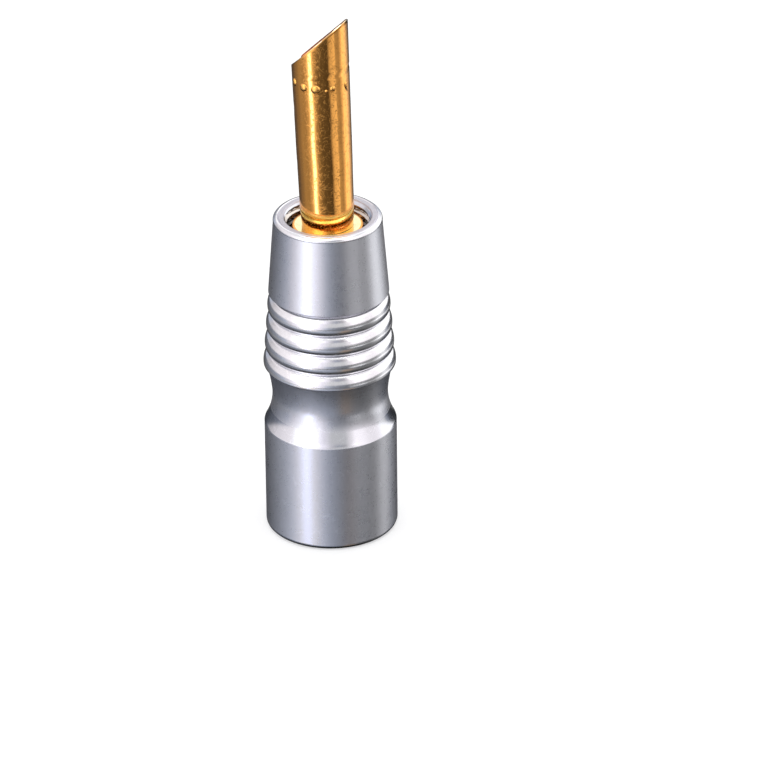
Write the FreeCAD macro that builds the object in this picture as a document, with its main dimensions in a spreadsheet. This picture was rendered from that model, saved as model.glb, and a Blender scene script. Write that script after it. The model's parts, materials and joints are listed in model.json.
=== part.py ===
"""Screw-clamp banana plug: a turned aluminium barrel, a gold-plated hub in its nose that carries
a rolled spring tube, a split collet that grips the wire, and a thin bush in the cable entry.

Frame: origin at the centre of the barrel's rear face, +Z along the plug towards the contact tip.
At rest the hub is screwed home, as the plug stands in the picture.
"""
import FreeCAD
import Part
import math
import os
import Sketcher

doc = FreeCAD.newDocument("BananaPlug")

# Driving dimensions in millimetres and degrees
SIZES = {
    # Barrel, outside
    "BarrelLength": 28.05,
    "RearRadius": 5.44,
    "RearChamfer": 0.38,
    "FlareHeight": 9.43,
    "WaistHeight": 12.10,
    "WaistRadius": 4.74,
    "WaistRunOut": 0.70,
    "WaistRise": 0.045,
    "RibStart": 14.65,
    "RibStartRadius": 5.09,
    "FirstRibHeight": 15.12,
    "RibPitch": 1.70,
    "RibCrest": 0.90,
    "RibLead": 0.14,
    "GrooveDepth": 0.45,
    "NoseFoot": 0.28,
    "NoseRimHeight": 27.70,
    "NoseRimRadius": 4.43,
    "NoseTaper": 4.50,
    "NoseChamfer": 0.30,
    # Barrel, inside
    "LipRadius": 3.63,
    "LipDepth": 0.55,
    "LipChamfer": 0.08,
    "ThreadBoreRadius": 3.34,
    "SeatTopHeight": 12.60,
    "SeatFootHeight": 10.90,
    "WireHoleRadius": 2.40,
    "EntryDepth": 9.20,
    # Bush in the cable entry
    "BushBoreRadius": 4.26,
    "BushWall": 0.15,
    "BushFit": 0.01,
    "BushRecess": 0.12,
    "BushChamfer": 0.08,
    "BushLength": 8.90,
    "BushSeamWidth": 0.12,
    "BushSeamAngle": 115.0,
    # Hub
    "FlangeTop": 27.30,
    "FlangeThickness": 0.45,
    "FlangeRadius": 2.90,
    "FlangeChamfer": 0.12,
    "NeckRadius": 2.45,
    "NeckLength": 0.85,
    "ThreadClearance": 0.04,
    "ThreadLength": 8.40,
    "ThreadChamfer": 0.35,
    "SpigotLength": 1.35,
    "SpigotNeckHeight": 0.95,
    "SpigotClearance": 0.055,
    "SocketDepth": 6.80,
    # Collet
    "ColletGap": 0.05,
    "SeatClearance": 0.06,
    "ShankRadius": 2.30,
    "ShankFlat": 1.95,
    "ShankClearance": 0.05,
    "ShankLength": 6.00,
    "WireBoreRadius": 1.55,
    "WireBoreChamfer": 0.35,
    "JawSlotWidth": 0.55,
    "JawSlotLength": 4.60,
    "JawCount": 4,
    # Contact tube
    "SheetThickness": 0.28,
    "RootRadius": 2.11,
    "CurlHeight": 1.00,
    "CurlBulge": 0.039,
    "TubeRadius": 2.265,
    "StraightLength": 8.0,
    "TubeFlare": 0.0085,
    "RootGap": 0.01,
    "TubeLean": 1.90,
    "TipDirection": -30.0,
    "TipCutHeight": 15.92,
    "TipCutRise": 0.92,
    "TipStock": 0.70,
    "SlitDirection": 173.0,
    "SlitRootGap": 47.0,
    "SlitTipGap": 57.0,
    "WavePitch": 4.95,
    "WaveSwing": 17.0,
    "DimpleHeight": 12.92,
    "DimpleProud": 0.11,
    "DimpleHalfWidth": 0.20,
    "DimpleHalfHeight": 0.23,
}

RIB_COUNT = 4

# Places that every piece measures from
REAR_FACE = "0"
AXIS = "0"
ROOT_END = "0"

# The slit is drawn inside and outside the sheet, at these shares of the tube's radius
SLIT_INSIDE = 0.3
SLIT_OUTSIDE = 1.4
WAVE_POINTS = 8

# Dimples round the tip: direction from the long side, then width and height as shares of the
# common dimple
DIMPLES = (
    (-122, 0.95, 0.95),
    (-96, 1.00, 1.05),
    (-68, 1.80, 1.30),
    (-49, 0.50, 0.50),
    (-35, 1.00, 0.85),
    (1, 0.95, 0.95),
    (42, 1.00, 1.05),
    (78, 1.30, 0.95),
)

sheet = doc.addObject("Spreadsheet::Sheet", "Sizes")
for row, (alias, value) in enumerate(SIZES.items(), start=1):
    sheet.set(f"A{row}", alias)
    sheet.set(f"B{row}", str(value))
    sheet.setAlias(f"B{row}", alias)
doc.recompute()


def size(expression):
    """Value of an expression in the sheet's names, as a plain number."""
    value = sheet.evalExpression(expression)
    return float(getattr(value, "Value", value))


def plane(body, role):
    """One of the body's own origin planes."""
    for feature in body.Origin.OriginFeatures:
        if feature.Role == role:
            return feature
    raise ValueError("no origin plane " + role)


def new_body(name):
    body = doc.addObject("PartDesign::Body", name)
    body.Label = name
    return body


def new_sketch(body, name, role, lift=None):
    """An empty sketch on an origin plane, lifted off it by an expression where one is given."""
    sketch = body.newObject("Sketcher::SketchObject", name)
    sketch.AttachmentSupport = (plane(body, role), [""])
    sketch.MapMode = "FlatFace"
    if lift:
        sketch.setExpression("AttachmentOffset.Base.z", lift)
    doc.recompute()
    return sketch


def place_point(sketch, geometry, end, x, y):
    """Both coordinates of a sketch point follow expressions."""
    for kind, expression in (("DistanceX", x), ("DistanceY", y)):
        index = sketch.addConstraint(
            Sketcher.Constraint(kind, -1, 1, geometry, end, size(expression)))
        sketch.setExpression(f"Constraints[{index}]", expression)


def draw_outline(sketch, corners):
    """A closed outline. Each corner is (x, y), or (x, y, bulge x, bulge y) where the edge that
    leaves it is an arc through the bulge point. All four are expressions."""
    vectors = [FreeCAD.Vector(size(c[0]), size(c[1]), 0) for c in corners]
    edges = []
    for i, corner in enumerate(corners):
        start = vectors[i]
        stop = vectors[(i + 1) % len(corners)]
        if len(corner) == 2:
            edges.append((sketch.addGeometry(Part.LineSegment(start, stop), False), 1, 2))
            continue
        middle = FreeCAD.Vector(size(corner[2]), size(corner[3]), 0)
        index = sketch.addGeometry(Part.Arc(start, middle, stop), False)
        reach, far_reach = [(sketch.getPoint(index, end) - start).Length for end in (1, 2)]
        edges.append((index, 1, 2) if reach < far_reach else (index, 2, 1))
        guide = sketch.addGeometry(Part.Point(middle), True)
        place_point(sketch, guide, 1, corner[2], corner[3])
        sketch.addConstraint(Sketcher.Constraint("PointOnObject", guide, 1, index))
    for i, (index, first, last) in enumerate(edges):
        following, joined, _ = edges[(i + 1) % len(edges)]
        sketch.addConstraint(Sketcher.Constraint("Coincident", index, last, following, joined))
        place_point(sketch, index, first, corners[i][0], corners[i][1])
    doc.recompute()


def revolve(body, name, sketch):
    feature = body.newObject("PartDesign::Revolution", name)
    feature.Profile = sketch
    feature.ReferenceAxis = (sketch, ["V_Axis"])
    feature.Angle = 360
    sketch.Visibility = False
    doc.recompute()
    return feature


def pocket_through(body, name, sketch, length, both_ways):
    """A pocket whose depth follows an expression. The volume must fall."""
    before = body.Shape.Volume
    feature = body.newObject("PartDesign::Pocket", name)
    feature.Profile = sketch
    feature.Midplane = both_ways
    feature.setExpression("Length", length)
    doc.recompute()
    if body.Shape.Volume > before - 1e-6:
        feature.Reversed = True
        doc.recompute()
    if body.Shape.Volume > before - 1e-6:
        raise ValueError(name + " cuts nothing")
    return feature


def cone_radius(height):
    """Radius of the nose cone at a height. The ribs are what its grooves leave."""
    return (f"(Sizes.NoseRimRadius + (Sizes.NoseRimHeight - ({height}))"
            f" * tan(Sizes.NoseTaper * 1deg))")


def make_barrel():
    """Turned barrel: rear cylinder, waist, four beaded ribs, tapered nose, stepped bore."""
    body = new_body("barrel")
    seat = "Sizes.BushBoreRadius + Sizes.BushWall + Sizes.BushFit"
    corners = [
        (seat, REAR_FACE),
        ("Sizes.RearRadius - Sizes.RearChamfer", REAR_FACE),
        ("Sizes.RearRadius", "Sizes.RearChamfer"),
        ("Sizes.RearRadius", "Sizes.FlareHeight", "Sizes.WaistRadius", "Sizes.WaistHeight"),
        ("Sizes.WaistRadius + Sizes.WaistRise", "Sizes.WaistHeight + Sizes.WaistRunOut"),
        ("Sizes.RibStartRadius", "Sizes.RibStart"),
    ]
    # Each rib is a bead: a crest that keeps to the cone, and a flank down to the groove beside it
    for rib in range(RIB_COUNT):
        middle = f"(Sizes.FirstRibHeight + {rib} * Sizes.RibPitch)"
        ahead = "Sizes.RibLead" if rib == 0 else "Sizes.RibCrest / 2"
        crest_start = f"({middle} - {ahead})"
        crest_end = f"({middle} + Sizes.RibCrest / 2)"
        groove = f"({middle} + Sizes.RibPitch / 2)"
        corners.append((cone_radius(crest_start), crest_start))
        corners.append((cone_radius(crest_end), crest_end))
        corners.append((cone_radius(groove) + " - Sizes.GrooveDepth", groove))
    nose_foot = f"({groove} + Sizes.NoseFoot)"
    corners += [
        (cone_radius(nose_foot), nose_foot),
        ("Sizes.NoseRimRadius", "Sizes.NoseRimHeight"),
        ("Sizes.NoseRimRadius - Sizes.NoseChamfer", "Sizes.BarrelLength"),
        ("Sizes.LipRadius + Sizes.LipChamfer", "Sizes.BarrelLength"),
        ("Sizes.LipRadius", "Sizes.BarrelLength - Sizes.LipChamfer"),
        ("Sizes.LipRadius", "Sizes.BarrelLength - Sizes.LipDepth"),
        ("Sizes.ThreadBoreRadius", "Sizes.BarrelLength - Sizes.LipDepth"),
        ("Sizes.ThreadBoreRadius", "Sizes.SeatTopHeight"),
        ("Sizes.WireHoleRadius", "Sizes.SeatFootHeight"),
        ("Sizes.WireHoleRadius", "Sizes.EntryDepth"),
        (seat, "Sizes.EntryDepth"),
    ]
    profile = new_sketch(body, "barrel_profile", "XZ_Plane")
    draw_outline(profile, corners)
    revolve(body, "barrel_turning", profile)
    return body


def make_bush():
    """Thin plated bush pressed into the cable entry, with the seam of its rolled strip."""
    body = new_body("rear_bush")
    outer = "Sizes.BushBoreRadius + Sizes.BushWall"
    profile = new_sketch(body, "bush_profile", "XZ_Plane")
    draw_outline(profile, [
        ("Sizes.BushBoreRadius + Sizes.BushChamfer", "Sizes.BushRecess"),
        (outer, "Sizes.BushRecess"),
        (outer, "Sizes.BushRecess + Sizes.BushLength"),
        ("Sizes.BushBoreRadius", "Sizes.BushRecess + Sizes.BushLength"),
        ("Sizes.BushBoreRadius", "Sizes.BushRecess + Sizes.BushChamfer"),
    ])
    revolve(body, "bush_turning", profile)
    seam = new_sketch(body, "bush_seam", "XZ_Plane")
    top = "Sizes.BushRecess + Sizes.BushLength + Sizes.BushWall"
    draw_outline(seam, [
        ("-Sizes.BushSeamWidth / 2", "Sizes.BushRecess - Sizes.BushWall"),
        ("Sizes.BushSeamWidth / 2", "Sizes.BushRecess - Sizes.BushWall"),
        ("Sizes.BushSeamWidth / 2", top),
        ("-Sizes.BushSeamWidth / 2", top),
    ])
    pocket_through(body, "bush_slit", seam, "Sizes.BushBoreRadius + Sizes.BushWall * 2", False)
    body.setExpression("Placement.Rotation.Angle", "Sizes.BushSeamAngle * 1deg")
    doc.recompute()
    return body


THREAD_TOP = "(Sizes.FlangeTop - Sizes.FlangeThickness - Sizes.NeckLength)"
THREAD_FOOT = f"({THREAD_TOP} - Sizes.ThreadLength)"


def double_flat(sketch, radius, flat):
    """A circle with two flats, centred on the sketch origin."""
    rise = f"sqrt({radius} ^ 2 - {flat} ^ 2)"
    draw_outline(sketch, [
        (flat, "-" + rise),
        (flat, rise, AXIS, radius),
        ("-" + flat, rise),
        ("-" + flat, "-" + rise, AXIS, "-" + radius),
    ])


def make_hub():
    """Turned hub: threaded body, neck, flange and the waisted spigot that the tube grips.
    Its socket has two flats, so it turns with the collet while it slides along the shank."""
    body = new_body("hub")
    thread = "(Sizes.ThreadBoreRadius - Sizes.ThreadClearance)"
    flange_foot = "(Sizes.FlangeTop - Sizes.FlangeThickness)"
    spigot = "(Sizes.TubeRadius - Sizes.SheetThickness - Sizes.SpigotClearance)"
    neck = "(Sizes.RootRadius - Sizes.SheetThickness - Sizes.SpigotClearance)"
    spigot_top = "(Sizes.FlangeTop + Sizes.SpigotLength)"
    profile = new_sketch(body, "hub_profile", "XZ_Plane")
    draw_outline(profile, [
        (AXIS, THREAD_FOOT),
        (thread + " - Sizes.ThreadChamfer", THREAD_FOOT),
        (thread, THREAD_FOOT + " + Sizes.ThreadChamfer"),
        (thread, THREAD_TOP + " - Sizes.ThreadChamfer"),
        (thread + " - Sizes.ThreadChamfer", THREAD_TOP),
        ("Sizes.NeckRadius", THREAD_TOP),
        ("Sizes.NeckRadius", flange_foot),
        ("Sizes.FlangeRadius", flange_foot),
        ("Sizes.FlangeRadius", "Sizes.FlangeTop - Sizes.FlangeChamfer"),
        ("Sizes.FlangeRadius - Sizes.FlangeChamfer", "Sizes.FlangeTop"),
        (neck, "Sizes.FlangeTop"),
        (neck, "Sizes.FlangeTop + Sizes.SpigotNeckHeight / 2"),
        (spigot, "Sizes.FlangeTop + Sizes.SpigotNeckHeight"),
        (spigot, spigot_top + " - Sizes.FlangeChamfer"),
        (spigot + " - Sizes.FlangeChamfer", spigot_top),
        (AXIS, spigot_top),
    ])
    revolve(body, "hub_turning", profile)
    socket = new_sketch(body, "hub_socket", "XY_Plane", THREAD_FOOT)
    double_flat(socket, "(Sizes.ShankRadius + Sizes.ShankClearance)",
                "(Sizes.ShankFlat + Sizes.ShankClearance)")
    pocket_through(body, "hub_socket_bore", socket, "Sizes.SocketDepth", False)
    return body


def make_collet():
    """Split collet: a coned head in the barrel's seat, four sprung jaws, and a shank with two
    flats in the hub's socket. The wire lies in its bore."""
    body = new_body("collet")
    head_top = f"({THREAD_FOOT} - Sizes.ColletGap)"
    slope = ("((Sizes.ThreadBoreRadius - Sizes.WireHoleRadius)"
             " / (Sizes.SeatTopHeight - Sizes.SeatFootHeight))")
    head = "(Sizes.ThreadBoreRadius - Sizes.SeatClearance)"
    foot = "(Sizes.WireHoleRadius - Sizes.SeatClearance + Sizes.WireBoreChamfer)"
    foot_height = f"(Sizes.SeatFootHeight + Sizes.SeatClearance + Sizes.WireBoreChamfer / {slope})"
    profile = new_sketch(body, "collet_profile", "XZ_Plane")
    draw_outline(profile, [
        ("Sizes.WireBoreRadius + Sizes.WireBoreChamfer", foot_height),
        (foot, foot_height),
        (head, "Sizes.SeatTopHeight + Sizes.SeatClearance"),
        (head, head_top),
        ("Sizes.ShankRadius", head_top),
        ("Sizes.ShankRadius", head_top + " + Sizes.ShankLength"),
        ("Sizes.WireBoreRadius", head_top + " + Sizes.ShankLength"),
        ("Sizes.WireBoreRadius", foot_height + " + Sizes.WireBoreChamfer"),
    ])
    revolve(body, "collet_turning", profile)
    # Two flats along the shank
    for side in (1, -1):
        flat = new_sketch(body, f"collet_flat_{'right' if side > 0 else 'left'}", "XY_Plane", head_top)
        near = f"{side} * Sizes.ShankFlat"
        far = f"{side} * (Sizes.ShankRadius + Sizes.ShankClearance)"
        draw_outline(flat, [
            (near, "-Sizes.ShankRadius"),
            (far, "-Sizes.ShankRadius"),
            (far, "Sizes.ShankRadius"),
            (near, "Sizes.ShankRadius"),
        ])
        cut = body.newObject("PartDesign::Pocket", flat.Name + "_cut")
        cut.Profile = flat
        cut.Reversed = True
        cut.setExpression("Length", "Sizes.ShankLength + Sizes.ShankClearance")
        doc.recompute()
    # Slots between the jaws
    slot = new_sketch(body, "jaw_slot", "XZ_Plane")
    low = "Sizes.SeatFootHeight - Sizes.WireBoreChamfer"
    high = "Sizes.SeatFootHeight + Sizes.JawSlotLength"
    draw_outline(slot, [
        ("-Sizes.JawSlotWidth / 2", low),
        ("Sizes.JawSlotWidth / 2", low),
        ("Sizes.JawSlotWidth / 2", high),
        ("-Sizes.JawSlotWidth / 2", high),
    ])
    first = pocket_through(body, "jaw_slot_cut", slot, "Sizes.ThreadBoreRadius * 2", False)
    pattern = body.newObject("PartDesign::PolarPattern", "jaw_slots")
    pattern.Originals = [first]
    pattern.Axis = (slot, ["V_Axis"])
    pattern.Angle = 360
    pattern.setExpression("Occurrences", "Sizes.JawCount")
    body.Tip = pattern
    doc.recompute()
    return body


def wave_azimuth(height, side):
    """Direction of one edge of the slit at a height: the gap opens evenly towards the tip, and
    both edges swing together in a cosine wave that turns at the height of the dimples."""
    share = height / size("Sizes.TipCutHeight")
    gap = size("Sizes.SlitRootGap") + (size("Sizes.SlitTipGap") - size("Sizes.SlitRootGap")) * share
    turn = 2 * math.pi * (height - size("Sizes.DimpleHeight")) / size("Sizes.WavePitch")
    return size("Sizes.SlitDirection") - size("Sizes.WaveSwing") * math.cos(turn) + side * gap / 2


def slit_outline(sketch, distance, low, high):
    """The slit seen from the tube's axis, drawn on an upright plane at a distance behind it: a
    wave on each side, joined by straight ends."""
    steps = max(int(round((high - low) / size("Sizes.WavePitch") * WAVE_POINTS)), WAVE_POINTS)
    waves = []
    for side in (1, -1):
        points = []
        for step in range(steps + 1):
            height = low + (high - low) * step / steps
            angle = math.radians(180.0 - wave_azimuth(height, side))
            points.append(FreeCAD.Vector(distance * math.tan(angle), height, 0))
        wave = Part.BSplineCurve()
        wave.interpolate(points)
        waves.append((wave, points))
    (first, first_points), (second, second_points) = waves
    sketch.addGeometry(first, False)
    sketch.addGeometry(Part.LineSegment(first_points[-1], second_points[-1]), False)
    sketch.addGeometry(second, False)
    sketch.addGeometry(Part.LineSegment(second_points[0], first_points[0]), False)
    doc.recompute()


def make_contact_tube():
    """Rolled spring tube: one wavy slit from end to end, a slanted tip, a root curled into the
    spigot's neck and a ring of small dimples under the tip."""
    body = new_body("contact_tube")
    top = "(Sizes.TipCutHeight + Sizes.TipCutRise * Sizes.TubeRadius + Sizes.TipStock)"
    root_in = "(Sizes.RootRadius - Sizes.SheetThickness)"
    tube_in = "(Sizes.TubeRadius - Sizes.SheetThickness)"
    flare = f"({top} - Sizes.StraightLength) * Sizes.TubeFlare"
    profile = new_sketch(body, "tube_profile", "XZ_Plane")
    draw_outline(profile, [
        (root_in, ROOT_END),
        ("Sizes.RootRadius", ROOT_END,
         "(Sizes.RootRadius + Sizes.TubeRadius) / 2 + Sizes.CurlBulge", "Sizes.CurlHeight / 2"),
        ("Sizes.TubeRadius", "Sizes.CurlHeight"),
        ("Sizes.TubeRadius", "Sizes.StraightLength"),
        (f"Sizes.TubeRadius + {flare}", top),
        (f"{tube_in} + {flare}", top),
        (tube_in, "Sizes.StraightLength"),
        (tube_in, "Sizes.CurlHeight",
         f"({root_in} + {tube_in}) / 2 + Sizes.CurlBulge", "Sizes.CurlHeight / 2"),
    ])
    revolve(body, "tube_wall", profile)
    # Slanted tip, highest on the side away from the slit
    reach = "(Sizes.TubeRadius * 2)"
    tip = new_sketch(body, "tip_cut", "XZ_Plane")
    draw_outline(tip, [
        ("-" + reach, f"Sizes.TipCutHeight - Sizes.TipCutRise * {reach}"),
        (reach, f"Sizes.TipCutHeight + Sizes.TipCutRise * {reach}"),
        ("-" + reach, f"{top} + Sizes.TipCutRise * {reach}"),
    ])
    pocket_through(body, "tip_slant", tip, "Sizes.TubeRadius * 4", True)
    # Wavy slit, cut square to the sheet all round
    margin = size("Sizes.SheetThickness")
    near = size("Sizes.TubeRadius") * SLIT_INSIDE
    far = size("Sizes.TubeRadius") * SLIT_OUTSIDE
    outlines = []
    for name, distance in (("slit_inside", near), ("slit_outside", far)):
        outline = new_sketch(body, name, "YZ_Plane")
        outline.AttachmentOffset = FreeCAD.Placement(FreeCAD.Vector(0, 0, -distance), FreeCAD.Rotation())
        slit_outline(outline, distance, -margin, size(top) + margin)
        outlines.append(outline)
    before = body.Shape.Volume
    slit = body.newObject("PartDesign::SubtractiveLoft", "wavy_slit")
    slit.Profile = outlines[0]
    slit.Sections = [outlines[1]]
    slit.Ruled = True
    doc.recompute()
    if body.Shape.Volume > before - 1e-3:
        raise ValueError("the slit cuts nothing")
    # Dimples: flat ovals whose middle lies in the sheet
    depth = "((Sizes.SheetThickness + Sizes.DimpleProud) / 2)"
    surface = "(Sizes.TubeRadius + (Sizes.DimpleHeight - Sizes.StraightLength) * Sizes.TubeFlare)"
    centre = size(f"{surface} + Sizes.DimpleProud - {depth}")
    for number, (direction, width, height) in enumerate(DIMPLES, start=1):
        bead = body.newObject("PartDesign::AdditiveEllipsoid", f"dimple_{number}")
        bead.setExpression("Radius1", f"Sizes.DimpleHalfHeight * {height}")
        bead.setExpression("Radius2", depth)
        bead.setExpression("Radius3", f"Sizes.DimpleHalfWidth * {width}")
        turn = FreeCAD.Rotation(FreeCAD.Vector(0, 0, 1), direction)
        place = turn.multVec(FreeCAD.Vector(centre, 0, 0))
        place.z = size("Sizes.DimpleHeight")
        bead.AttachmentSupport = (plane(body, "XY_Plane"), [""])
        bead.MapMode = "FlatFace"
        bead.AttachmentOffset = FreeCAD.Placement(place, turn)
        doc.recompute()
    lift = size("Sizes.FlangeTop + Sizes.RootGap + Sizes.RootRadius * sin(Sizes.TubeLean * 1deg)")
    body.Placement = FreeCAD.Placement(
        FreeCAD.Vector(0, 0, lift),
        FreeCAD.Rotation(FreeCAD.Vector(0, 0, 1), size("Sizes.TipDirection"))
        * FreeCAD.Rotation(FreeCAD.Vector(0, 1, 0), -size("Sizes.TubeLean")))
    doc.recompute()
    return body


parts = [make_barrel(), make_bush(), make_hub(), make_collet(), make_contact_tube()]
doc.recompute()

for item in doc.Objects:
    if "Invalid" in item.State or "Error" in item.State:
        raise ValueError("failed: " + item.Name)

os.makedirs("parts", exist_ok=True)
for piece in parts:
    if piece.Shape.isNull() or not piece.Shape.isValid() or len(piece.Shape.Solids) != 1:
        raise ValueError("bad solid: " + piece.Label)
    piece.Shape.exportStep(f"parts/{piece.Label}.step")
    print(piece.Label, round(piece.Shape.Volume, 3), "mm3")
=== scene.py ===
"""Looks of a screw-clamp banana plug: satin aluminium barrel, gold-plated hub and contact tube.

Every new piece is a surface worked out on a grid of two parameters, in metres, in the frame of the
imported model: the origin is at the middle of the barrel's rear face and +Z runs to the tip. The
collet keeps its solid and gets a finish.
"""

import json
import math

import bmesh
import bpy
import numpy as np
from bpy.props import FloatProperty, FloatVectorProperty, IntProperty, PointerProperty
from bpy.types import Operator, Panel, PropertyGroup
from mathutils import Matrix, Vector


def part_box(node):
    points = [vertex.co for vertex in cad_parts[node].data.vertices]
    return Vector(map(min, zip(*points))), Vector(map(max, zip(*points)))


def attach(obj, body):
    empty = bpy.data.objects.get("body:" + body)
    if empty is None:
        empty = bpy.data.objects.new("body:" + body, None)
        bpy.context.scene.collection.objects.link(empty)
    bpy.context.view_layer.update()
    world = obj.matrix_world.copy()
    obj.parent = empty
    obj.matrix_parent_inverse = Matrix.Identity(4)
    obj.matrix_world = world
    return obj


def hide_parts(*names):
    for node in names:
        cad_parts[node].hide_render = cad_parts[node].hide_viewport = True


bl_info = {
    "name": "Banana Plug",
    "version": (1, 0, 0),
    "blender": (4, 5, 0),
    "location": "View3D > Sidebar > Banana Plug",
    "description": "Models and finishes a screw-clamp banana plug around its packed frame",
    "category": "Object",
}

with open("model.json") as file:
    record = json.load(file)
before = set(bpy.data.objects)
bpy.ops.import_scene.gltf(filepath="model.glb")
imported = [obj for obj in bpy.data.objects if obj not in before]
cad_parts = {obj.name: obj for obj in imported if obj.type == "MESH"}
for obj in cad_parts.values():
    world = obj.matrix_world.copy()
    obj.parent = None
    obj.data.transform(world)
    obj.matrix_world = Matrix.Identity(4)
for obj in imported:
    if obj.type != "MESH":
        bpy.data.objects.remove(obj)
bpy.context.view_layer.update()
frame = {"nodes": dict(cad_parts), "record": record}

MM = 0.001
BARREL_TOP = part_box("barrel")[1]
HUB_FOOT, HUB_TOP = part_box("hub")
BUSH_FOOT, BUSH_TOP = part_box("rear_bush")
CONTACT_MOUNT = next(m for m in frame["record"]["mounts"] if m["name"] == "contact")
ENTRY_MOUNT = next(m for m in frame["record"]["mounts"] if m["name"] == "cable_entry")

# Small steps that keep shading crisp: how near an edge its support row lies, the steps of a
# rounded corner, and the angle from which an edge is shaded sharp
SUPPORT = 0.03 * MM
ROUND_STEPS = 5
SHARP_ANGLE = math.radians(32)
# Points closer than this are one point
WELD_DISTANCE = 1e-8

# Rounds of the turned corners, from the finest to the widest
FINE_ROUND = 0.04 * MM
EDGE_ROUND = 0.05 * MM
HOLE_ROUND = 0.06 * MM
NECK_ROUND = 0.08 * MM
SEAT_ROUND = 0.10 * MM

# Where the points stand on the round of a sheet's edge, as shares of the round
EDGE_STEPS = np.array([0.0, 0.12, 0.4, 1.0, 1.8])
# The share of that round which takes the finish of the cut edges
EDGE_SHARE = 0.9

RIB_COUNT = 4
# Height over the rear face where the barrel's closed profile begins, on the entry's wall
ENTRY_MOUTH = 0.4 * MM


def length(name, description, default):
    """A length setting in metres, whose default is given in millimetres."""
    return FloatProperty(name=name, description=description, default=default * MM, unit="LENGTH",
                         subtype="DISTANCE", precision=5)


def angle(name, description, default):
    """An angle setting, whose default is given in degrees."""
    return FloatProperty(name=name, description=description, default=math.radians(default),
                         subtype="ANGLE")


def colour(name, description, default):
    """A colour setting in scene-linear red, green and blue."""
    return FloatVectorProperty(name=name, description=description, default=default, size=3,
                               subtype="COLOR", min=0.0, max=1.0)


def share(name, description, default):
    """A setting between 0 and 1."""
    return FloatProperty(name=name, description=description, default=default, min=0.0, max=1.0,
                         subtype="FACTOR")


class BarrelSettings(PropertyGroup):
    """Sizes of the turned barrel."""
    columns: IntProperty(name="Columns", description="Steps round the barrel", default=224)
    rear_radius: length("Rear radius", "Radius of the rear cylinder", 5.44)
    rear_round: length("Rear round", "Radius of the round on the rear edge", 0.40)
    flare_height: length("Flare height", "Where the rear cylinder ends", 9.43)
    facet_top: length("Facet top", "Where the polished start of the waist ends", 10.70)
    waist_height: length("Waist height", "Height of the narrowest place", 12.10)
    waist_radius: length("Waist radius", "Radius of the narrowest place", 4.74)
    rib_start: length("Rib start", "Height where the first rib's rear side starts", 14.61)
    rib_start_radius: length("Rib start radius", "Radius there", 5.15)
    first_rib: length("First rib", "Height of the first rib's crest", 15.11)
    rib_pitch: length("Rib pitch", "Distance between crests", 1.70)
    rib_depth: length("Rib depth", "How far a rib's round falls towards its groove", 0.52)
    nose_foot: length("Nose foot", "Height where the smooth nose starts", 21.35)
    nose_radius: length("Nose radius", "Radius of the nose under its rim", 4.43)
    nose_taper: angle("Nose taper", "Slope of the nose and of the ribs' crests", 4.50)
    rim_round: length("Rim round", "Radius of the round on the nose rim", 0.34)
    rim_line: length("Rim line", "Depth of the tool line between the rim's round and its face", 0.07)
    lip_radius: length("Lip radius", "Radius of the countersink inside the rim", 3.63)
    lip_depth: length("Lip depth", "Depth of that countersink", 0.34)
    bore_radius: length("Bore radius", "Radius over the crests of the nose thread", 3.34)
    bore_root: length("Bore root", "Radius in the grooves of the nose thread", 3.60)
    seat_top: length("Seat top", "Height where the collet's cone starts", 12.60)
    seat_foot: length("Seat foot", "Height where that cone ends", 10.90)
    wire_radius: length("Wire hole", "Radius of the hole between seat and cable entry", 2.40)
    entry_depth: length("Entry depth", "Depth of the cable entry", 9.20)
    entry_wall: length("Entry wall", "Radius of the wall behind the rear bush", 4.42)


class ThreadSettings(PropertyGroup):
    """The fine right-hand thread between barrel and hub."""
    pitch: length("Pitch", "Advance in one turn", 0.75)
    clearance: length("Clearance", "Radial gap between the two threads", 0.06)
    fade: length("Fade", "Length over which the thread runs out", 0.50)
    start: FloatProperty(name="Start", description="Where the thread starts, in turns", default=0.35)
    steps: IntProperty(name="Steps", description="Rows for each turn", default=10)
    shown_steps: IntProperty(name="Shown steps", default=36,
                             description="Rows for each of the two turns at the nose's mouth")


class HubSettings(PropertyGroup):
    """Sizes of the gold-plated hub."""
    columns: IntProperty(name="Columns", description="Steps round the hub", default=192)
    flange_top: length("Flange top", "Height of the flange's upper face", 27.30)
    flange_thickness: length("Flange thickness", "Thickness of the flange", 0.45)
    flange_radius: length("Flange radius", "Radius of the flange", 2.90)
    flange_round: length("Flange round", "Round on the flange's edge", 0.12)
    neck_radius: length("Neck radius", "Radius between flange and thread", 2.45)
    neck_length: length("Neck length", "Length between flange and thread", 0.85)
    thread_chamfer: length("Thread chamfer", "Chamfer at both ends of the thread", 0.35)
    spigot_neck: length("Spigot neck", "Radius of the spigot under the curled root", 1.72)
    spigot_radius: length("Spigot radius", "Radius of the spigot inside the tube", 1.80)
    spigot_step: length("Spigot step", "Height where the spigot reaches its full radius", 0.95)
    socket_radius: length("Socket radius", "Radius of the socket for the collet's shank", 2.35)
    socket_flat: length("Socket flat", "Half the distance between the socket's flats", 2.00)
    socket_depth: length("Socket depth", "Depth of that socket", 6.80)


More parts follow.
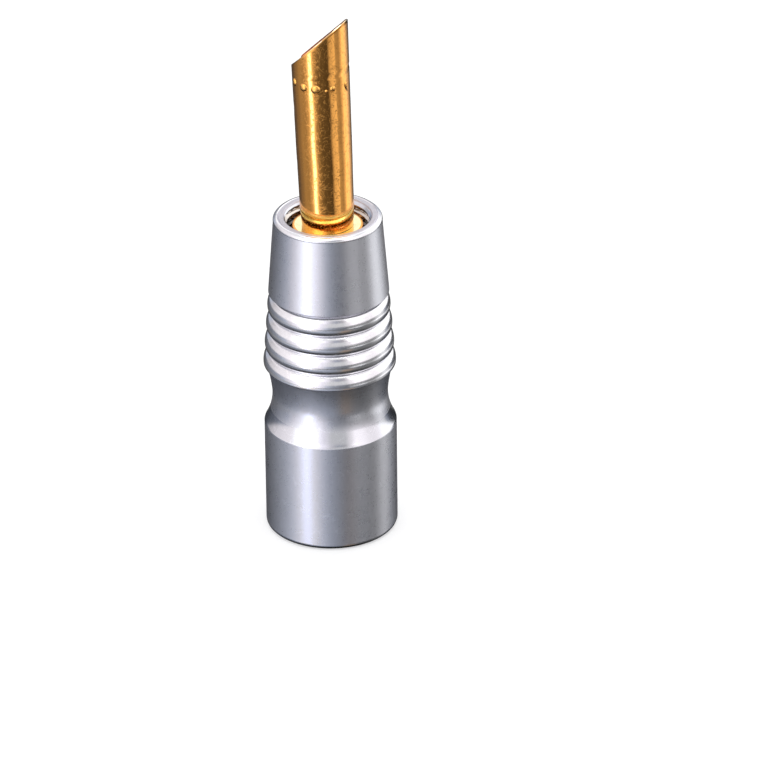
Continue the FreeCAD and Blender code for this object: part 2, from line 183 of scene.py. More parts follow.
class TubeSettings(PropertyGroup):
    """Sizes of the rolled contact tube, along its own axis."""
    columns: IntProperty(name="Columns", description="Steps across the rolled sheet", default=320)
    sheet: length("Sheet", "Thickness of the sheet", 0.28)
    burr: length("Burr", "Round on the cut edges", 0.080)
    root_edge: FloatProperty(name="Root edge", default=2.5,
                             description="How many times crisper the root's edge is")
    inner_edge: share("Inner edge", "Share of that round on the inner side", 0.2)
    taper: length("Taper", "How much the tube narrows from its middle to its root", 0.065)
    taper_foot: length("Taper foot", "Height where that narrowing ends", 2.00)
    curl: length("Curl", "Height over which the root curls in", 2.20)
    curl_in: length("Curl in", "How far it curls in", 0.11)
    mount_height: length("Mount height", "Height of the contact mount's middle", 4.50)
    radius: length("Radius", "Radius of the straight stretch", 2.265)
    straight: length("Straight", "Height where the tube starts to widen", 8.00)
    flare: FloatProperty(name="Flare", description="Widening above it, per length", default=0.0085)
    root_sunk: length("Root sunk", "How far the root is set into the flange", 0.12)
    tip_height: length("Tip height", "Height of the slanted cut on the axis", 15.97)
    tip_rise: FloatProperty(name="Tip rise", description="Slope of the slanted cut", default=0.885)
    tip_turn: angle("Tip turn", "Turn of the slanted cut from the long side", 4.2)
    tip_burr: length("Tip burr", "Round on the outer side of the slanted cut", 0.07)
    tip_lining: length("Tip lining", "Round on its inner side", 0.17)
    tip_corner: length("Tip corner", "Round of the sheet's corners at the tip", 0.50)
    tip_lean: angle("Tip lean", "How far the slit's far edge leans in at the tip", 30.0)
    slit_side: angle("Slit side", "Middle of the slit, from the long side", 173.0)
    root_gap: angle("Root gap", "Opening of the slit at the root", 47.0)
    tip_gap: angle("Tip gap", "Opening of the slit at the tip", 57.0)
    wave_pitch: length("Wave pitch", "Length of one wave of the slit", 4.95)
    wave_swing: angle("Wave swing", "How far the slit swings to each side", 17.0)
    dimple_height: length("Dimple height", "Height of the ring of dimples", 12.92)
    dimple_proud: length("Dimple proud", "How far the common dimple stands out", 0.11)
    dimple_width: length("Dimple width", "Half width of the common dimple", 0.20)
    dimple_tall: length("Dimple tall", "Half height of the common dimple", 0.23)


class BushSettings(PropertyGroup):
    """Sizes of the thin bush that lines the cable entry."""
    columns: IntProperty(name="Columns", description="Steps round the bush", default=240)
    rows: IntProperty(name="Rows", description="Steps along the bush", default=90)
    wall: length("Wall", "Thickness of the strip", 0.15)
    lead_in: length("Lead-in", "Width of the chamfer at the mouth", 0.09)
    seam_angle: angle("Seam angle", "Where the seam lies round the bush", 25.0)
    seam_gap: length("Seam gap", "Opening of the ragged seam", 0.07)
    seam_wander: length("Seam wander", "How far the seam strays to each side", 0.28)


class FinishSettings(PropertyGroup):
    """Colours and gloss of the metals."""
    aluminium: colour("Aluminium", "Colour of the aluminium", (0.70, 0.705, 0.755))
    gold: colour("Gold", "Colour of the gold plate", (0.93, 0.425, 0.10))
    cut_face: colour("Cut face", "Colour of the freshly cut faces", (0.60, 0.585, 0.64))
    # Painted highlight: the ribs' aluminium is lighter than the rest, and with a share of matt
    # scatter this colour stands in for their broad white highlight
    ribs: colour("Ribs", "Colour of the aluminium on the ribs", (0.86, 0.855, 0.895))
    bore: colour("Bore", "Colour of the aluminium in the threaded bore", (0.74, 0.67, 0.61))
    # Painted highlight: a pale colour for the flange's upper face alone, standing in for the light it
    # catches
    flange: colour("Flange", "Colour of the bright gold plate on the hub's flange", (1.0, 0.87, 0.50))
    edge: colour("Edge", "Colour of the cut edges of the rolled sheet", (1.0, 0.80, 0.52))
    # Painted highlight: a lighter plate colour on the dimples that stands in for the light they catch
    dimple: colour("Dimple", "Colour of the plate on the pressed dimples", (1.0, 0.48, 0.12))
    # Painted shade: a dark plate colour for the tube's inner side, where the inside lies in shade
    inside: colour("Inside", "Colour of the plate inside the contact tube", (0.30, 0.075, 0.02))
    # Painted highlight: colour of the band over the tube's root that stands in for the flange's
    # reflection
    root: colour("Root", "Colour of the bright ring over the tube's root", (1.0, 0.67, 0.15))
    satin: share("Satin", "Roughness of the satin aluminium", 0.29)
    polished: share("Polished", "Roughness of the flare, the ribs, the rim and the rear round", 0.15)
    cut: share("Cut", "Roughness of the freshly cut faces", 0.40)
    plate: share("Plate", "Roughness of the gold plate", 0.06)
    # The matt share of the ribs carries their painted highlight
    ribs_highlight_metal: share("Ribs metal", "How far the ribs mirror rather than scatter", 0.90)
    # How far that painted highlight mirrors rather than scatters
    root_highlight_metal: share("Root metal", "How far that ring mirrors rather than scatters", 0.80)
    cut_metal: share("Cut metal", "How far the cut faces mirror rather than scatter", 0.85)


class StageSettings(PropertyGroup):
    """Camera, floor and studio light."""
    lens: FloatProperty(name="Lens", description="Focal length in millimetres", default=275.95)
    camera_back: length("Camera back", "Distance of the camera in front of the plug", 425.40)
    camera_rise: length("Camera rise", "Height of the camera over the floor", 240.20)
    aim_side: length("Aim side", "The picture's middle, to the right of the plug's axis", 4.414)
    aim_height: length("Aim height", "Height of the picture's middle", 12.506)
    camera_roll: angle("Camera roll", "Turn of the camera about its own axis", -0.581)
    floor_size: length("Floor size", "Half the side of the floor", 3000.0)
    floor_gap: length("Floor gap", "Gap under the barrel", 0.02)
    floor_white: share("Floor white", "Share of the floor's white that no shadow reaches", 0.45)
    lamp_height: length("Lamp height", "Height of the overhead lamp", 700.0)
    lamp_size: length("Lamp size", "Side of the overhead lamp", 500.0)
    lamp_power: FloatProperty(name="Lamp power", description="Power of the overhead lamp in watts",
                              default=2.2, unit="POWER")
    level: FloatProperty(name="Level", description="Level of the lamp and the cards", default=1.0)
    sky_level: FloatProperty(name="Sky level", description="Level of the sky for matt surfaces",
                             default=0.90)
    ground_level: FloatProperty(name="Ground level", default=0.15,
                                description="Level under the horizon for matt surfaces")
    tent_radius: length("Tent radius", "Radius of the tent of light cards", 1500.0)
    band_radius: length("Band radius", "Radius of the cards that the contact tube mirrors", 600.0)
    band_foot: length("Band foot", "Height of the foot of those cards", -290.0)
    band_top: length("Band top", "Height of their top", -222.0)
    band_fade: length("Band fade", "Height over which they fade in and out", 3.5)
    band_lean: FloatVectorProperty(name="Band lean", size=3, default=(-0.0350, 0.0122, 1.0),
                                   description="Direction along which those heights are measured")


# Dimples round the tip: direction from the long side in degrees, width and height as shares of
# the common dimple, and how far each lies over the ring's height in millimetres
DIMPLES = np.array((
    (-125, 1.20, 1.40, 0.05),
    (-98, 1.65, 1.45, -0.10),
    (-71, 1.85, 1.50, -0.14),
    (-50, 0.45, 0.50, -0.29),
    (-36, 1.10, 1.05, -0.17),
    (-2, 0.95, 1.25, -0.25),
    (56, 1.00, 1.05, 0.0),
    (90, 1.30, 0.95, 0.0),
))

# Finishes of the aluminium, in the order of the barrel's slots: the settings of its colour and its
# roughness, how far turning marks and grain stand out in millimetres, and the share of mottling
ALUMINIUM = {
    "satin_aluminium_turned": ("aluminium", "satin", 0.0004, 0.0006, 0.035),
    "polished_aluminium": ("aluminium", "polished", 0.0005, 0.0006, 0.03),
    "cut_aluminium": ("cut_face", "cut", 0.0030, 0.0020, 0.05),
    "bore_aluminium": ("bore", "polished", 0.0010, 0.0010, 0.05),
    # The ribs and the rim's round: lighter aluminium as a painted highlight
    "ribbed_aluminium": ("ribs", "polished", 0.0045, 0.0006, 0.04),
}
SATIN, POLISHED, CUT, BORE, RIBBED_PAINTED_HIGHLIGHT = range(len(ALUMINIUM))
# Painted shade in the threaded bore: its colour falls to a share of itself between two depths under
# the nose's rim, which are given in millimetres, the lower one first, where the deep bore lies in
# shade
BORE_SHADE = (1.35, 1.0)
BORE_PAINTED_SHADE = 0.28

# Finishes of the gold plate: the setting of its colour, its roughness over the plate's setting,
# and how far scratches and score marks stand out in millimetres
GOLD = {
    "gold_plate_polished": ("gold", 0.0, 0.0012, 0.0003),
    "gold_plate_scored": ("gold", 0.12, 0.003, 0.006),
    # The flange's upper face: a painted highlight
    "gold_plate_bright": ("flange", 0.04, 0.001, 0.0003),
    # The dimples: a painted highlight
    "gold_plate_dimples": ("dimple", 0.08, 0.0005, 0.0003),
    # The tube's inner side: painted shade
    "gold_plate_inside": ("inside", 0.20, 0.001, 0.0010),
    "gold_plate_edge": ("edge", 0.04, 0.0005, 0.0003),
}
# Heights over the flange, in millimetres, between which the painted highlight over the tube's root
# fades in and out:
# a brighter, less mirror-like band of plate that stands in for the flange's reflection
PAINTED_HIGHLIGHT_FOOT = (0.80, 1.20)
PAINTED_HIGHLIGHT_TOP = (1.49, 1.84)

# The studio round the plug as rings of light cards, from the floor to the top. Each stop is a
# direction in degrees, counted from the camera's side towards +X, with the level and the tone of
# the card there
NEUTRAL = (1.0, 1.0, 1.0)
COOL = (0.89, 0.97, 1.15)
LILAC = (1.02, 0.985, 1.05)
PINK = (1.04, 0.99, 1.0)
RUST = (1.30, 0.97, 0.72)
ICE = (0.80, 0.92, 1.40)
WARM = (1.16, 1.0, 0.74)
FOOT_CARDS = (
    (-180, 0.02, COOL), (-130, 0.06, COOL), (-90, 0.15, COOL), (-60, 0.37, COOL),
    (-38, 0.54, COOL), (-14, 0.43, COOL), (8, 0.33, COOL), (20, 0.27, NEUTRAL), (27, 0.27, RUST),
    (38, 0.25, RUST), (50, 0.19, NEUTRAL), (66, 0.13, NEUTRAL), (90, 0.16, NEUTRAL),
    (106, 0.24, NEUTRAL), (128, 0.08, COOL), (150, 0.02, COOL), (180, 0.02, COOL),
)
LOW_CARDS = (
    (-180, 0.02, COOL), (-150, 0.05, COOL), (-130, 0.13, COOL), (-112, 0.24, COOL),
    (-98, 0.36, COOL), (-84, 0.60, COOL), (-72, 0.84, COOL), (-62, 1.02, LILAC),
    (-53, 0.98, WARM), (-45, 0.88, WARM), (-39, 0.88, WARM), (-32, 0.97, WARM),
    (-24, 0.97, LILAC), (-15, 0.73, COOL), (-6, 0.49, COOL), (6, 0.35, COOL), (18, 0.21, COOL),
    (30, 0.14, COOL), (62, 0.10, COOL), (74, 0.14, NEUTRAL), (84, 0.20, NEUTRAL),
    (93, 0.42, NEUTRAL), (104, 0.56, NEUTRAL), (113, 0.40, NEUTRAL), (125, 0.16, COOL),
    (140, 0.05, COOL), (160, 0.02, COOL), (180, 0.02, COOL),
)
MIDDLE_CARDS = (
    (-180, 0.02, COOL), (-150, 0.06, COOL), (-130, 0.14, COOL), (-112, 0.23, COOL),
    (-98, 0.34, COOL), (-86, 0.50, COOL), (-76, 0.71, LILAC), (-66, 0.94, LILAC),
    (-58, 1.18, LILAC), (-52, 1.60, NEUTRAL), (-36, 1.60, NEUTRAL), (-28, 1.38, LILAC),
    (-20, 1.18, LILAC), (-13, 0.86, LILAC), (-6, 0.56, COOL), (0, 0.40, COOL), (7, 0.27, COOL),
    (18, 0.19, COOL), (27, 0.14, COOL), (36, 0.21, NEUTRAL), (46, 0.26, NEUTRAL),
    (76, 0.22, NEUTRAL), (85, 0.26, NEUTRAL), (93, 0.53, NEUTRAL), (103, 0.92, NEUTRAL),
    (112, 0.80, NEUTRAL), (122, 0.28, COOL), (134, 0.06, COOL), (150, 0.02, COOL),
    (180, 0.02, COOL),
)
LEVEL_CARDS = (
    (-180, 0.06, COOL), (-160, 0.22, COOL), (-144, 0.52, COOL), (-126, 0.54, PINK),
    (-114, 0.70, PINK), (-100, 0.90, PINK), (-84, 1.02, PINK), (-72, 1.12, PINK),
    (-64, 1.50, NEUTRAL), (-56, 1.75, NEUTRAL), (-28, 1.75, NEUTRAL), (-20, 1.25, LILAC),
    (-12, 0.96, LILAC), (3, 0.68, NEUTRAL), (24, 0.64, NEUTRAL), (35, 0.96, PINK),
    (44, 1.35, PINK), (58, 1.28, PINK), (70, 1.10, PINK), (80, 1.06, PINK), (90, 1.20, PINK),
    (100, 1.50, NEUTRAL), (126, 1.50, NEUTRAL), (138, 1.45, NEUTRAL), (150, 1.10, NEUTRAL),
    (162, 0.55, COOL), (180, 0.06, COOL),
)
HIGH_CARDS = (
    (-180, 1.25, NEUTRAL), (-166, 1.10, NEUTRAL), (-146, 0.80, PINK), (-100, 0.95, PINK),
    (-84, 1.02, PINK), (-74, 1.15, PINK), (-67, 1.60, NEUTRAL), (-58, 2.40, NEUTRAL),
    (-27, 2.40, NEUTRAL), (-19, 1.45, LILAC), (-12, 1.20, LILAC), (-5, 0.98, LILAC),
    (3, 0.58, LILAC), (12, 0.36, COOL), (24, 0.36, LILAC), (32, 0.62, PINK), (37, 1.50, PINK),
    (44, 2.30, PINK), (58, 1.80, PINK), (70, 1.30, PINK), (90, 1.10, PINK), (98, 1.40, NEUTRAL),
    (140, 1.35, NEUTRAL), (160, 1.25, NEUTRAL), (180, 1.25, NEUTRAL),
)
TUBE_CARDS = (
    (-180, 0.06, NEUTRAL), (-140, 0.12, NEUTRAL), (-114, 0.26, NEUTRAL), (-92, 0.40, NEUTRAL),
    (-74, 0.38, NEUTRAL), (-59, 0.62, NEUTRAL), (-52, 1.25, COOL), (-46, 4.10, ICE),
    (-39, 4.10, ICE), (-34, 1.40, COOL), (-28, 0.56, NEUTRAL), (-20, 0.31, NEUTRAL),
    (-13, 0.19, NEUTRAL), (0, 0.12, NEUTRAL), (30, 0.09, NEUTRAL), (35, 0.50, NEUTRAL),
    (41, 0.85, NEUTRAL), (59, 1.05, NEUTRAL), (66, 0.50, NEUTRAL), (79, 0.44, NEUTRAL),
    (90, 0.90, NEUTRAL), (98, 1.50, NEUTRAL), (116, 1.45, NEUTRAL), (129, 0.85, NEUTRAL),
    (142, 0.36, NEUTRAL), (154, 0.14, NEUTRAL), (180, 0.06, NEUTRAL),
)
# The rings with the steepness (sine of the elevation) between which each runs into the one before
RINGS = (
    (FOOT_CARDS, (-0.88, -0.60)),
    (LOW_CARDS, (-0.58, -0.50)),
    (MIDDLE_CARDS, (-0.43, -0.36)),
    (LEVEL_CARDS, (-0.14, -0.04)),
    (HIGH_CARDS, (0.35, 0.45)),
)
# Levels straight below and above the plug, and the steepness between which the top begins
NADIR_LEVEL = 0.02
TOP_LEVEL = 0.86
TOP_STEPS = (0.70, 0.82)
# The level that a colour of 1 stands for in the cards' nodes, and the cards' steps round the plug
BRIGHTEST_CARD = 7.0
CARD_COLUMNS = 96
# The steepness between which the matt surfaces' ground runs into their sky
HORIZON = (-0.10, 0.20)


def settings(kind):
    """The scene's values of one group of settings."""
    return getattr(bpy.context.scene, "banana_plug_" + kind)


def mesh_object(name, points, faces, finishes, finish_of_face):
    """Mesh of an array of points and an array of quads. Corners that fall together are welded, so
    that a quad at a pole becomes a triangle, and faces are turned to point outwards."""
    mesh = bpy.data.meshes.new(name)
    mesh.from_pydata(points.reshape(-1, 3), [], faces.reshape(-1, 4))
    mesh.polygons.foreach_set("material_index", finish_of_face.reshape(-1).astype(np.int32))
    for finish in finishes:
        mesh.materials.append(finish)
    shape = bmesh.new()
    shape.from_mesh(mesh)
    bmesh.ops.remove_doubles(shape, verts=shape.verts, dist=WELD_DISTANCE)
    bmesh.ops.recalc_face_normals(shape, faces=shape.faces)
    shape.to_mesh(mesh)
    shape.free()
    mesh.polygons.foreach_set("use_smooth", np.ones(len(mesh.polygons), bool))
    mesh.set_sharp_from_angle(angle=SHARP_ANGLE)
    piece = bpy.data.objects.new(name, mesh)
    bpy.context.scene.collection.objects.link(piece)
    return piece


def grid_faces(rows, columns, closed_rows, closed_columns):
    """Corner numbers of the quads of a grid, which closes on itself where asked."""
    index = np.arange(rows * columns).reshape(rows, columns)
    if closed_rows:
        index = np.vstack([index, index[:1]])
    if closed_columns:
        index = np.hstack([index, index[:, :1]])
    return np.stack([index[:-1, :-1], index[:-1, 1:], index[1:, 1:], index[1:, :-1]], axis=-1)


def straight(start, stop):
    """Straight stretch of a profile from its start up to its end, with a support row next to
    both."""
    start, stop = np.array(start, float), np.array(stop, float)
    reach = np.linalg.norm(stop - start)
    if reach < 4 * SUPPORT:
        return np.array([start, stop])
    step = (stop - start) / reach * SUPPORT
    return np.array([start, start + step, stop - step, stop])


def rounded(start, corner, stop, radius, steps=ROUND_STEPS):
    """Points of the round between two straight stretches: an arc of the given radius, tangent to
    both, at their common corner."""
    corner = np.array(corner, float)
    back = np.array(start, float) - corner
    ahead = np.array(stop, float) - corner
    back /= np.linalg.norm(back)
    ahead /= np.linalg.norm(ahead)
    half = math.acos(np.clip(back @ ahead, -1, 1)) / 2
    reach = radius / math.tan(half)
    middle = corner + (back + ahead) / np.linalg.norm(back + ahead) * radius / math.sin(half)
    first, last = corner + back * reach, corner + ahead * reach
    from_angle = math.atan2(*(first - middle)[::-1])
    turn = math.atan2(*(last - middle)[::-1]) - from_angle
    turn = (turn + math.pi) % (2 * math.pi) - math.pi
    angles = from_angle + turn * np.linspace(0, 1, steps + 1)
    return middle + radius * np.column_stack([np.cos(angles), np.sin(angles)])


def outline(corners, finish):
    """Profile through corners given as (radius, height, round). A corner with a round becomes an
    arc, and the stretches between are straight. Returns the finish and the points."""
    points = []
    for i, (r, z, fillet) in enumerate(corners):
        if fillet and 0 < i < len(corners) - 1:
            points.append(rounded(corners[i - 1][:2], (r, z), corners[i + 1][:2], fillet))
        else:
            points.append(np.array([[r, z]]))
    joined = [points[0]]
    for before, after in zip(points[:-1], points[1:]):
        joined.append(straight(before[-1], after[0])[1:-1])
        joined.append(after)
    return finish, np.vstack(joined)


def turned(name, stretches, columns, finishes, offset=None, closed=True):
    """A turned piece. Its profile (radius, height) is carried round the axis:
    x = radius * cos(turn), y = radius * sin(turn), z = height, where an offset that depends on
    height and turn may add to the radius, as a thread does."""
    profile = np.vstack([points for _, points in stretches])
    owner = np.concatenate([np.full(len(points), i) for i, (_, points) in enumerate(stretches)])
    turn = np.linspace(0, 2 * np.pi, columns, endpoint=False)
    radius = np.repeat(profile[:, :1], columns, axis=1)
    height = np.repeat(profile[:, 1:], columns, axis=1)
    if offset is not None:
        radius = offset(radius, height, turn[None, :], owner[:, None])
    points = np.stack([radius * np.cos(turn), radius * np.sin(turn), height], axis=-1)
    faces = grid_faces(len(profile), columns, closed, True)
    slot_of_row = np.array([stretches[i][0] for i in owner])[:len(faces)]
    return mesh_object(name, points, faces, finishes, np.repeat(slot_of_row, columns))


def thread_wave(height, turn, thread):
    """Form of a right-hand thread between 0 and 1: a trapezium wave along the height that climbs
    one pitch in each turn."""
    flat, flank = 0.28, 0.48
    phase = (height / thread.pitch - turn / (2 * np.pi) - thread.start) % 1.0
    rise = np.abs(phase - 0.5) * 2
    return np.clip((rise - flat) / flank, 0, 1)


def smooth_step(value, low, high):
    """0 below low, 1 above high and a smooth cubic between."""
    t = np.clip((value - low) / (high - low), 0, 1)
    return t * t * (3 - 2 * t)


def wander(values, seed, waves=7):
    """A smooth random line between about -1 and 1: a sum of sines with fixed random phases, whose
    strength falls with their frequency."""
    first_waves, fall, height = 1.3, 0.8, 1.8
    draw = np.random.default_rng(seed)
    count = np.arange(1, waves + 1)
    phase = draw.uniform(0, 2 * np.pi, waves)
    strength = draw.uniform(0.5, 1.0, waves) / count ** fall
    turns = values[..., None] * count * 2 * np.pi * first_waves + phase
    return (np.sin(turns) * strength).sum(-1) / strength.sum() * height


def rib_beads(s):
    """The ribs: each is a round bead, radius = cone - depth * (1 - cos(a)) and
    height = crest + half pitch * sin(a) / sin(high), for a between low and high. It meets the next
    in a sharp groove. The first bead's lower half is cut short."""
    taper = math.tan(s.nose_taper)
    rim_foot = BARREL_TOP.z - s.rim_round
    high, first_low, rows = math.radians(78), 0.55, 15
    beads = []
    for rib in range(RIB_COUNT):
        crest = s.first_rib + rib * s.rib_pitch
        low = -high
        if rib == 0:
            low = -math.asin(min(1.0, (crest - s.rib_start) * first_low / (s.rib_pitch / 2)))
        a = np.linspace(low, high, rows)
        height = crest + s.rib_pitch / 2 * np.sin(a) / math.sin(high)
        cone = s.nose_radius + (rim_foot - height) * taper
        beads.append(np.column_stack([cone - s.rib_depth * (1 - np.cos(a)), height]))
    return beads


def waist_curve(s):
    """Concave waist from the rear cylinder to the first rib: an arc of a circle down to the
    narrowest place, then a rise by a power of the share of the way."""
    down_rows, up_rows, rise_power = 18, 15, 1.55
    drop = s.rear_radius - s.waist_radius
    reach = s.waist_height - s.flare_height
    arc = (drop ** 2 + reach ** 2) / (2 * drop)
    z = np.linspace(s.flare_height + SUPPORT, s.waist_height, down_rows)
    down = s.waist_radius + arc - np.sqrt(arc ** 2 - (z - s.waist_height) ** 2)
    z_up = np.linspace(s.waist_height, s.rib_start - SUPPORT, up_rows)[1:]
    t = (z_up - s.waist_height) / (s.rib_start - s.waist_height)
    up = s.waist_radius + (s.rib_start_radius - s.waist_radius) * t ** rise_power
    return np.vstack([np.column_stack([down, z]), np.column_stack([up, z_up])])


def barrel_outside(s):
    """The barrel's profile from the rear bush's wall over the rear face and up to the nose's rim,
    as stretches of points with their finish."""
    top = BARREL_TOP.z
    taper = math.tan(s.nose_taper)
    rim_foot = top - s.rim_round
    nose_low = s.nose_radius + (rim_foot - s.nose_foot) * taper
    undercut, joint, wide_steps = 0.05 * MM, 0.02 * MM, 9
    rear = outline([
        (s.entry_wall, ENTRY_MOUTH, 0),
        (s.entry_wall, 0.0, EDGE_ROUND),
        (s.rear_radius - s.rear_round * 1.1, 0.0, 0),
    ], CUT)
    rear_round = rounded((0, 0), (s.rear_radius, 0), (s.rear_radius, 1), s.rear_round, wide_steps)
    cylinder = outline([
        (s.rear_radius, s.rear_round + SUPPORT, 0),
        (s.rear_radius, s.flare_height - SUPPORT, 0),
    ], SATIN)
    curve = waist_curve(s)
    facet = curve[curve[:, 1] <= s.facet_top]
    hollow = curve[curve[:, 1] > s.facet_top]
    beads = rib_beads(s)
    last_r, last_z = beads[-1][-1]
    nose = outline([
        (last_r - undercut, last_z + undercut, 0),
        (last_r - undercut, s.nose_foot - undercut, 0),
        (nose_low, s.nose_foot - undercut, undercut * 0.8),
        (s.nose_radius + joint * taper, rim_foot - joint, 0),
    ], SATIN)
    rim = rounded((s.nose_radius + taper * MM, rim_foot - MM), (s.nose_radius, top), (0, top),
                  s.rim_round, wide_steps)
    # The ribs and the rim's round take the painted highlight of the lighter rib aluminium
    return [rear, (POLISHED, rear_round), cylinder, (POLISHED, facet), (SATIN, hollow),
            *((RIBBED_PAINTED_HIGHLIGHT, bead) for bead in beads), nose, (RIBBED_PAINTED_HIGHLIGHT, rim)]


def barrel_bore(s, thread, rim_radius):
    """The barrel's profile from the inner end of the rim's round over the rim's face, down the
    countersink, the nose thread, the seat and the wire hole and into the cable entry. Returns its
    stretches, and the numbers of those among them that the thread cuts."""
    top = BARREL_TOP.z
    # How far in and down from the countersink's edge its round ends and its slope starts
    round_end, slope_start = np.array([0.08, 0.09]) * MM, np.array([0.10, 0.12]) * MM
    lip_gap, lip_rows, shown_turns = 0.05 * MM, 14, 2
    face = outline([
        (rim_radius - s.rim_line, top - s.rim_line, 0),
        (rim_radius - 2 * s.rim_line, top, 0),
        (s.lip_radius, top, EDGE_ROUND),
        (s.lip_radius - round_end[0], top - round_end[1], 0),
    ], CUT)
    lip_top = (s.lip_radius - slope_start[0], top - slope_start[1])
    lip_foot = (s.bore_radius, top - s.lip_depth)
    lip = (POLISHED, np.linspace(lip_top, lip_foot, lip_rows))
    thread_top = top - s.lip_depth - lip_gap
    thread_foot = HUB_FOOT.z - thread.fade
    shown_foot = thread_top - shown_turns * thread.pitch
    shown = np.linspace(thread_top, shown_foot, shown_turns * thread.shown_steps, endpoint=False)
    hidden = np.linspace(shown_foot, thread_foot,
                         int((shown_foot - thread_foot) / thread.pitch * thread.steps))
    rows = np.concatenate([shown, hidden])
    threads = (BORE, np.column_stack([np.full(len(rows), s.bore_radius), rows]))
    inside = outline([
        (s.bore_radius, thread_foot - SUPPORT, 0),
        (s.bore_radius, s.seat_top, SEAT_ROUND),
        (s.wire_radius, s.seat_foot, SEAT_ROUND),
        (s.wire_radius, s.entry_depth, HOLE_ROUND),
        (s.entry_wall, s.entry_depth, HOLE_ROUND),
        (s.entry_wall, ENTRY_MOUTH + 0.1 * MM, 0),
    ], BORE)
    return [face, lip, threads, inside], (1, 2)


def make_barrel_piece():
    """The turned barrel: its closed profile carried round the axis, with the nose thread."""
    s, thread = settings("barrel"), settings("thread")
    outside = barrel_outside(s)
    _, rim = outside[-1]
    bore, cut = barrel_bore(s, thread, rim[-1, 0])
    threaded = np.array(cut) + len(outside)

    def offset(radius, height, turn, owner):
        """The nose thread cuts outwards from the bore, fades at its foot and runs out through the
        countersink: the larger of the profile's radius and bore + depth * wave."""
        foot = HUB_FOOT.z - thread.fade
        fade = smooth_step(height, foot, foot + 2 * thread.fade)
        depth = (s.bore_root - s.bore_radius) * thread_wave(height, turn, thread) * fade
        cut_out = np.maximum(radius, s.bore_radius + depth)
        return np.where(np.isin(owner, threaded), cut_out, radius)

    finishes = [aluminium(name) for name in ALUMINIUM]
    return turned("barrel_turned", outside + bore, s.columns, finishes, offset)


def make_hub_piece():
    """The turned hub: its profile from the spigot's top down the outside and up the socket, with
    the ridge of its thread and the flats of its socket."""
    s, thread, barrel = settings("hub"), settings("thread"), settings("barrel")
    body = barrel.bore_radius - thread.clearance
    ridge = barrel.bore_root - barrel.bore_radius
    flange_foot = s.flange_top - s.flange_thickness
    thread_top = flange_foot - s.neck_length
    spigot_top = HUB_TOP.z
    # Slot 1 is the painted highlight on the flange's upper face
    plate, bright = 0, 1
    spigot = outline([
        (0, spigot_top, 0),
        (s.spigot_radius, spigot_top, s.flange_round),
        (s.spigot_radius, s.flange_top + s.spigot_step, 0),
        (s.spigot_neck, s.flange_top + s.spigot_step / 2, 0),
        (s.spigot_neck, s.flange_top + SUPPORT, 0),
    ], plate)
    face = outline([
        (s.spigot_neck, s.flange_top, 0),
        (s.flange_radius - 2 * s.flange_round, s.flange_top, 0),
    ], bright)
    side = outline([
        (s.flange_radius - 2 * s.flange_round + SUPPORT, s.flange_top, 0),
        (s.flange_radius, s.flange_top, s.flange_round),
        (s.flange_radius, flange_foot, EDGE_ROUND),
        (s.neck_radius, flange_foot, NECK_ROUND),
        (s.neck_radius, thread_top, NECK_ROUND),
        (body - s.thread_chamfer, thread_top, 0),
        (body, thread_top - s.thread_chamfer, 0),
    ], plate)
    low, high = HUB_FOOT.z + s.thread_chamfer, thread_top - s.thread_chamfer
    turns = int((high - low) / thread.pitch * thread.steps)
    rows = np.linspace(high, low, turns)
    threads = (plate, np.column_stack([np.full(turns, body), rows]))
    foot = outline([
        (body, low - SUPPORT, 0),
        (body - s.thread_chamfer, HUB_FOOT.z, FINE_ROUND),
        (s.socket_radius + SUPPORT, HUB_FOOT.z, 0),
    ], plate)
    socket = outline([
        (s.socket_radius, HUB_FOOT.z, 0),
        (s.socket_radius, HUB_FOOT.z + s.socket_depth, 0),
    ], plate)
    floor = (plate, np.array([[0.0, HUB_FOOT.z + s.socket_depth]]))
    stretches = [spigot, face, side, threads, foot, socket, floor]
    thread_row, socket_row = 3, 5

    def offset(radius, height, turn, owner):
        """The thread's ridge stands on the body, radius = body + ridge * wave, and the socket has
        two flats, radius = half the distance between them / abs(cos(turn))."""
        fade = smooth_step(height, low, low + thread.fade)
        fade = fade * smooth_step(-height, -high, -high + thread.fade)
        raised = radius + ridge * thread_wave(height, turn, thread) * fade
        flats = np.minimum(radius, s.socket_flat / np.maximum(np.abs(np.cos(turn)), 1e-6))
        return np.where(owner == thread_row, raised, np.where(owner == socket_row, flats, radius))

    finishes = [gold("gold_plate_polished"), gold("gold_plate_bright")]
    return turned("hub_turned", stretches, s.columns, finishes, offset, closed=False)


def sheet_object(name, outer, inner, finishes, marks, strip_marks):
    """A closed sheet between two grids of points of the same size: the grids are its two sides,
    and a strip of quads along each border joins them. The marks give the number of the finish at
    each point of both sides, and a quad takes the highest of its corners. The strip marks are the
    finishes of the strips: first row, last row, first column, last column."""
    rows, columns = outer.shape[:2]
    points = np.concatenate([outer.reshape(-1, 3), inner.reshape(-1, 3)])
    side = grid_faces(rows, columns, False, False).reshape(-1, 4)
    index = np.arange(rows * columns).reshape(rows, columns)
    strips = []
    strip_finishes = []
    borders = (index[0], index[-1][::-1], index[:, 0][::-1], index[:, -1])
    for border, mark in zip(borders, strip_marks):
        strips.append(np.stack([border[:-1], border[1:], border[1:] + rows * columns,
                                border[:-1] + rows * columns], axis=-1))
        strip_finishes.append(np.full(len(border) - 1, mark))
    faces = np.concatenate([side, side[:, ::-1] + rows * columns, *strips])
    marked = [grid.reshape(-1)[side].max(axis=1) for grid in marks]
    finish_of_face = np.concatenate([*marked, *strip_finishes])
    return mesh_object(name, points, faces, finishes, finish_of_face)


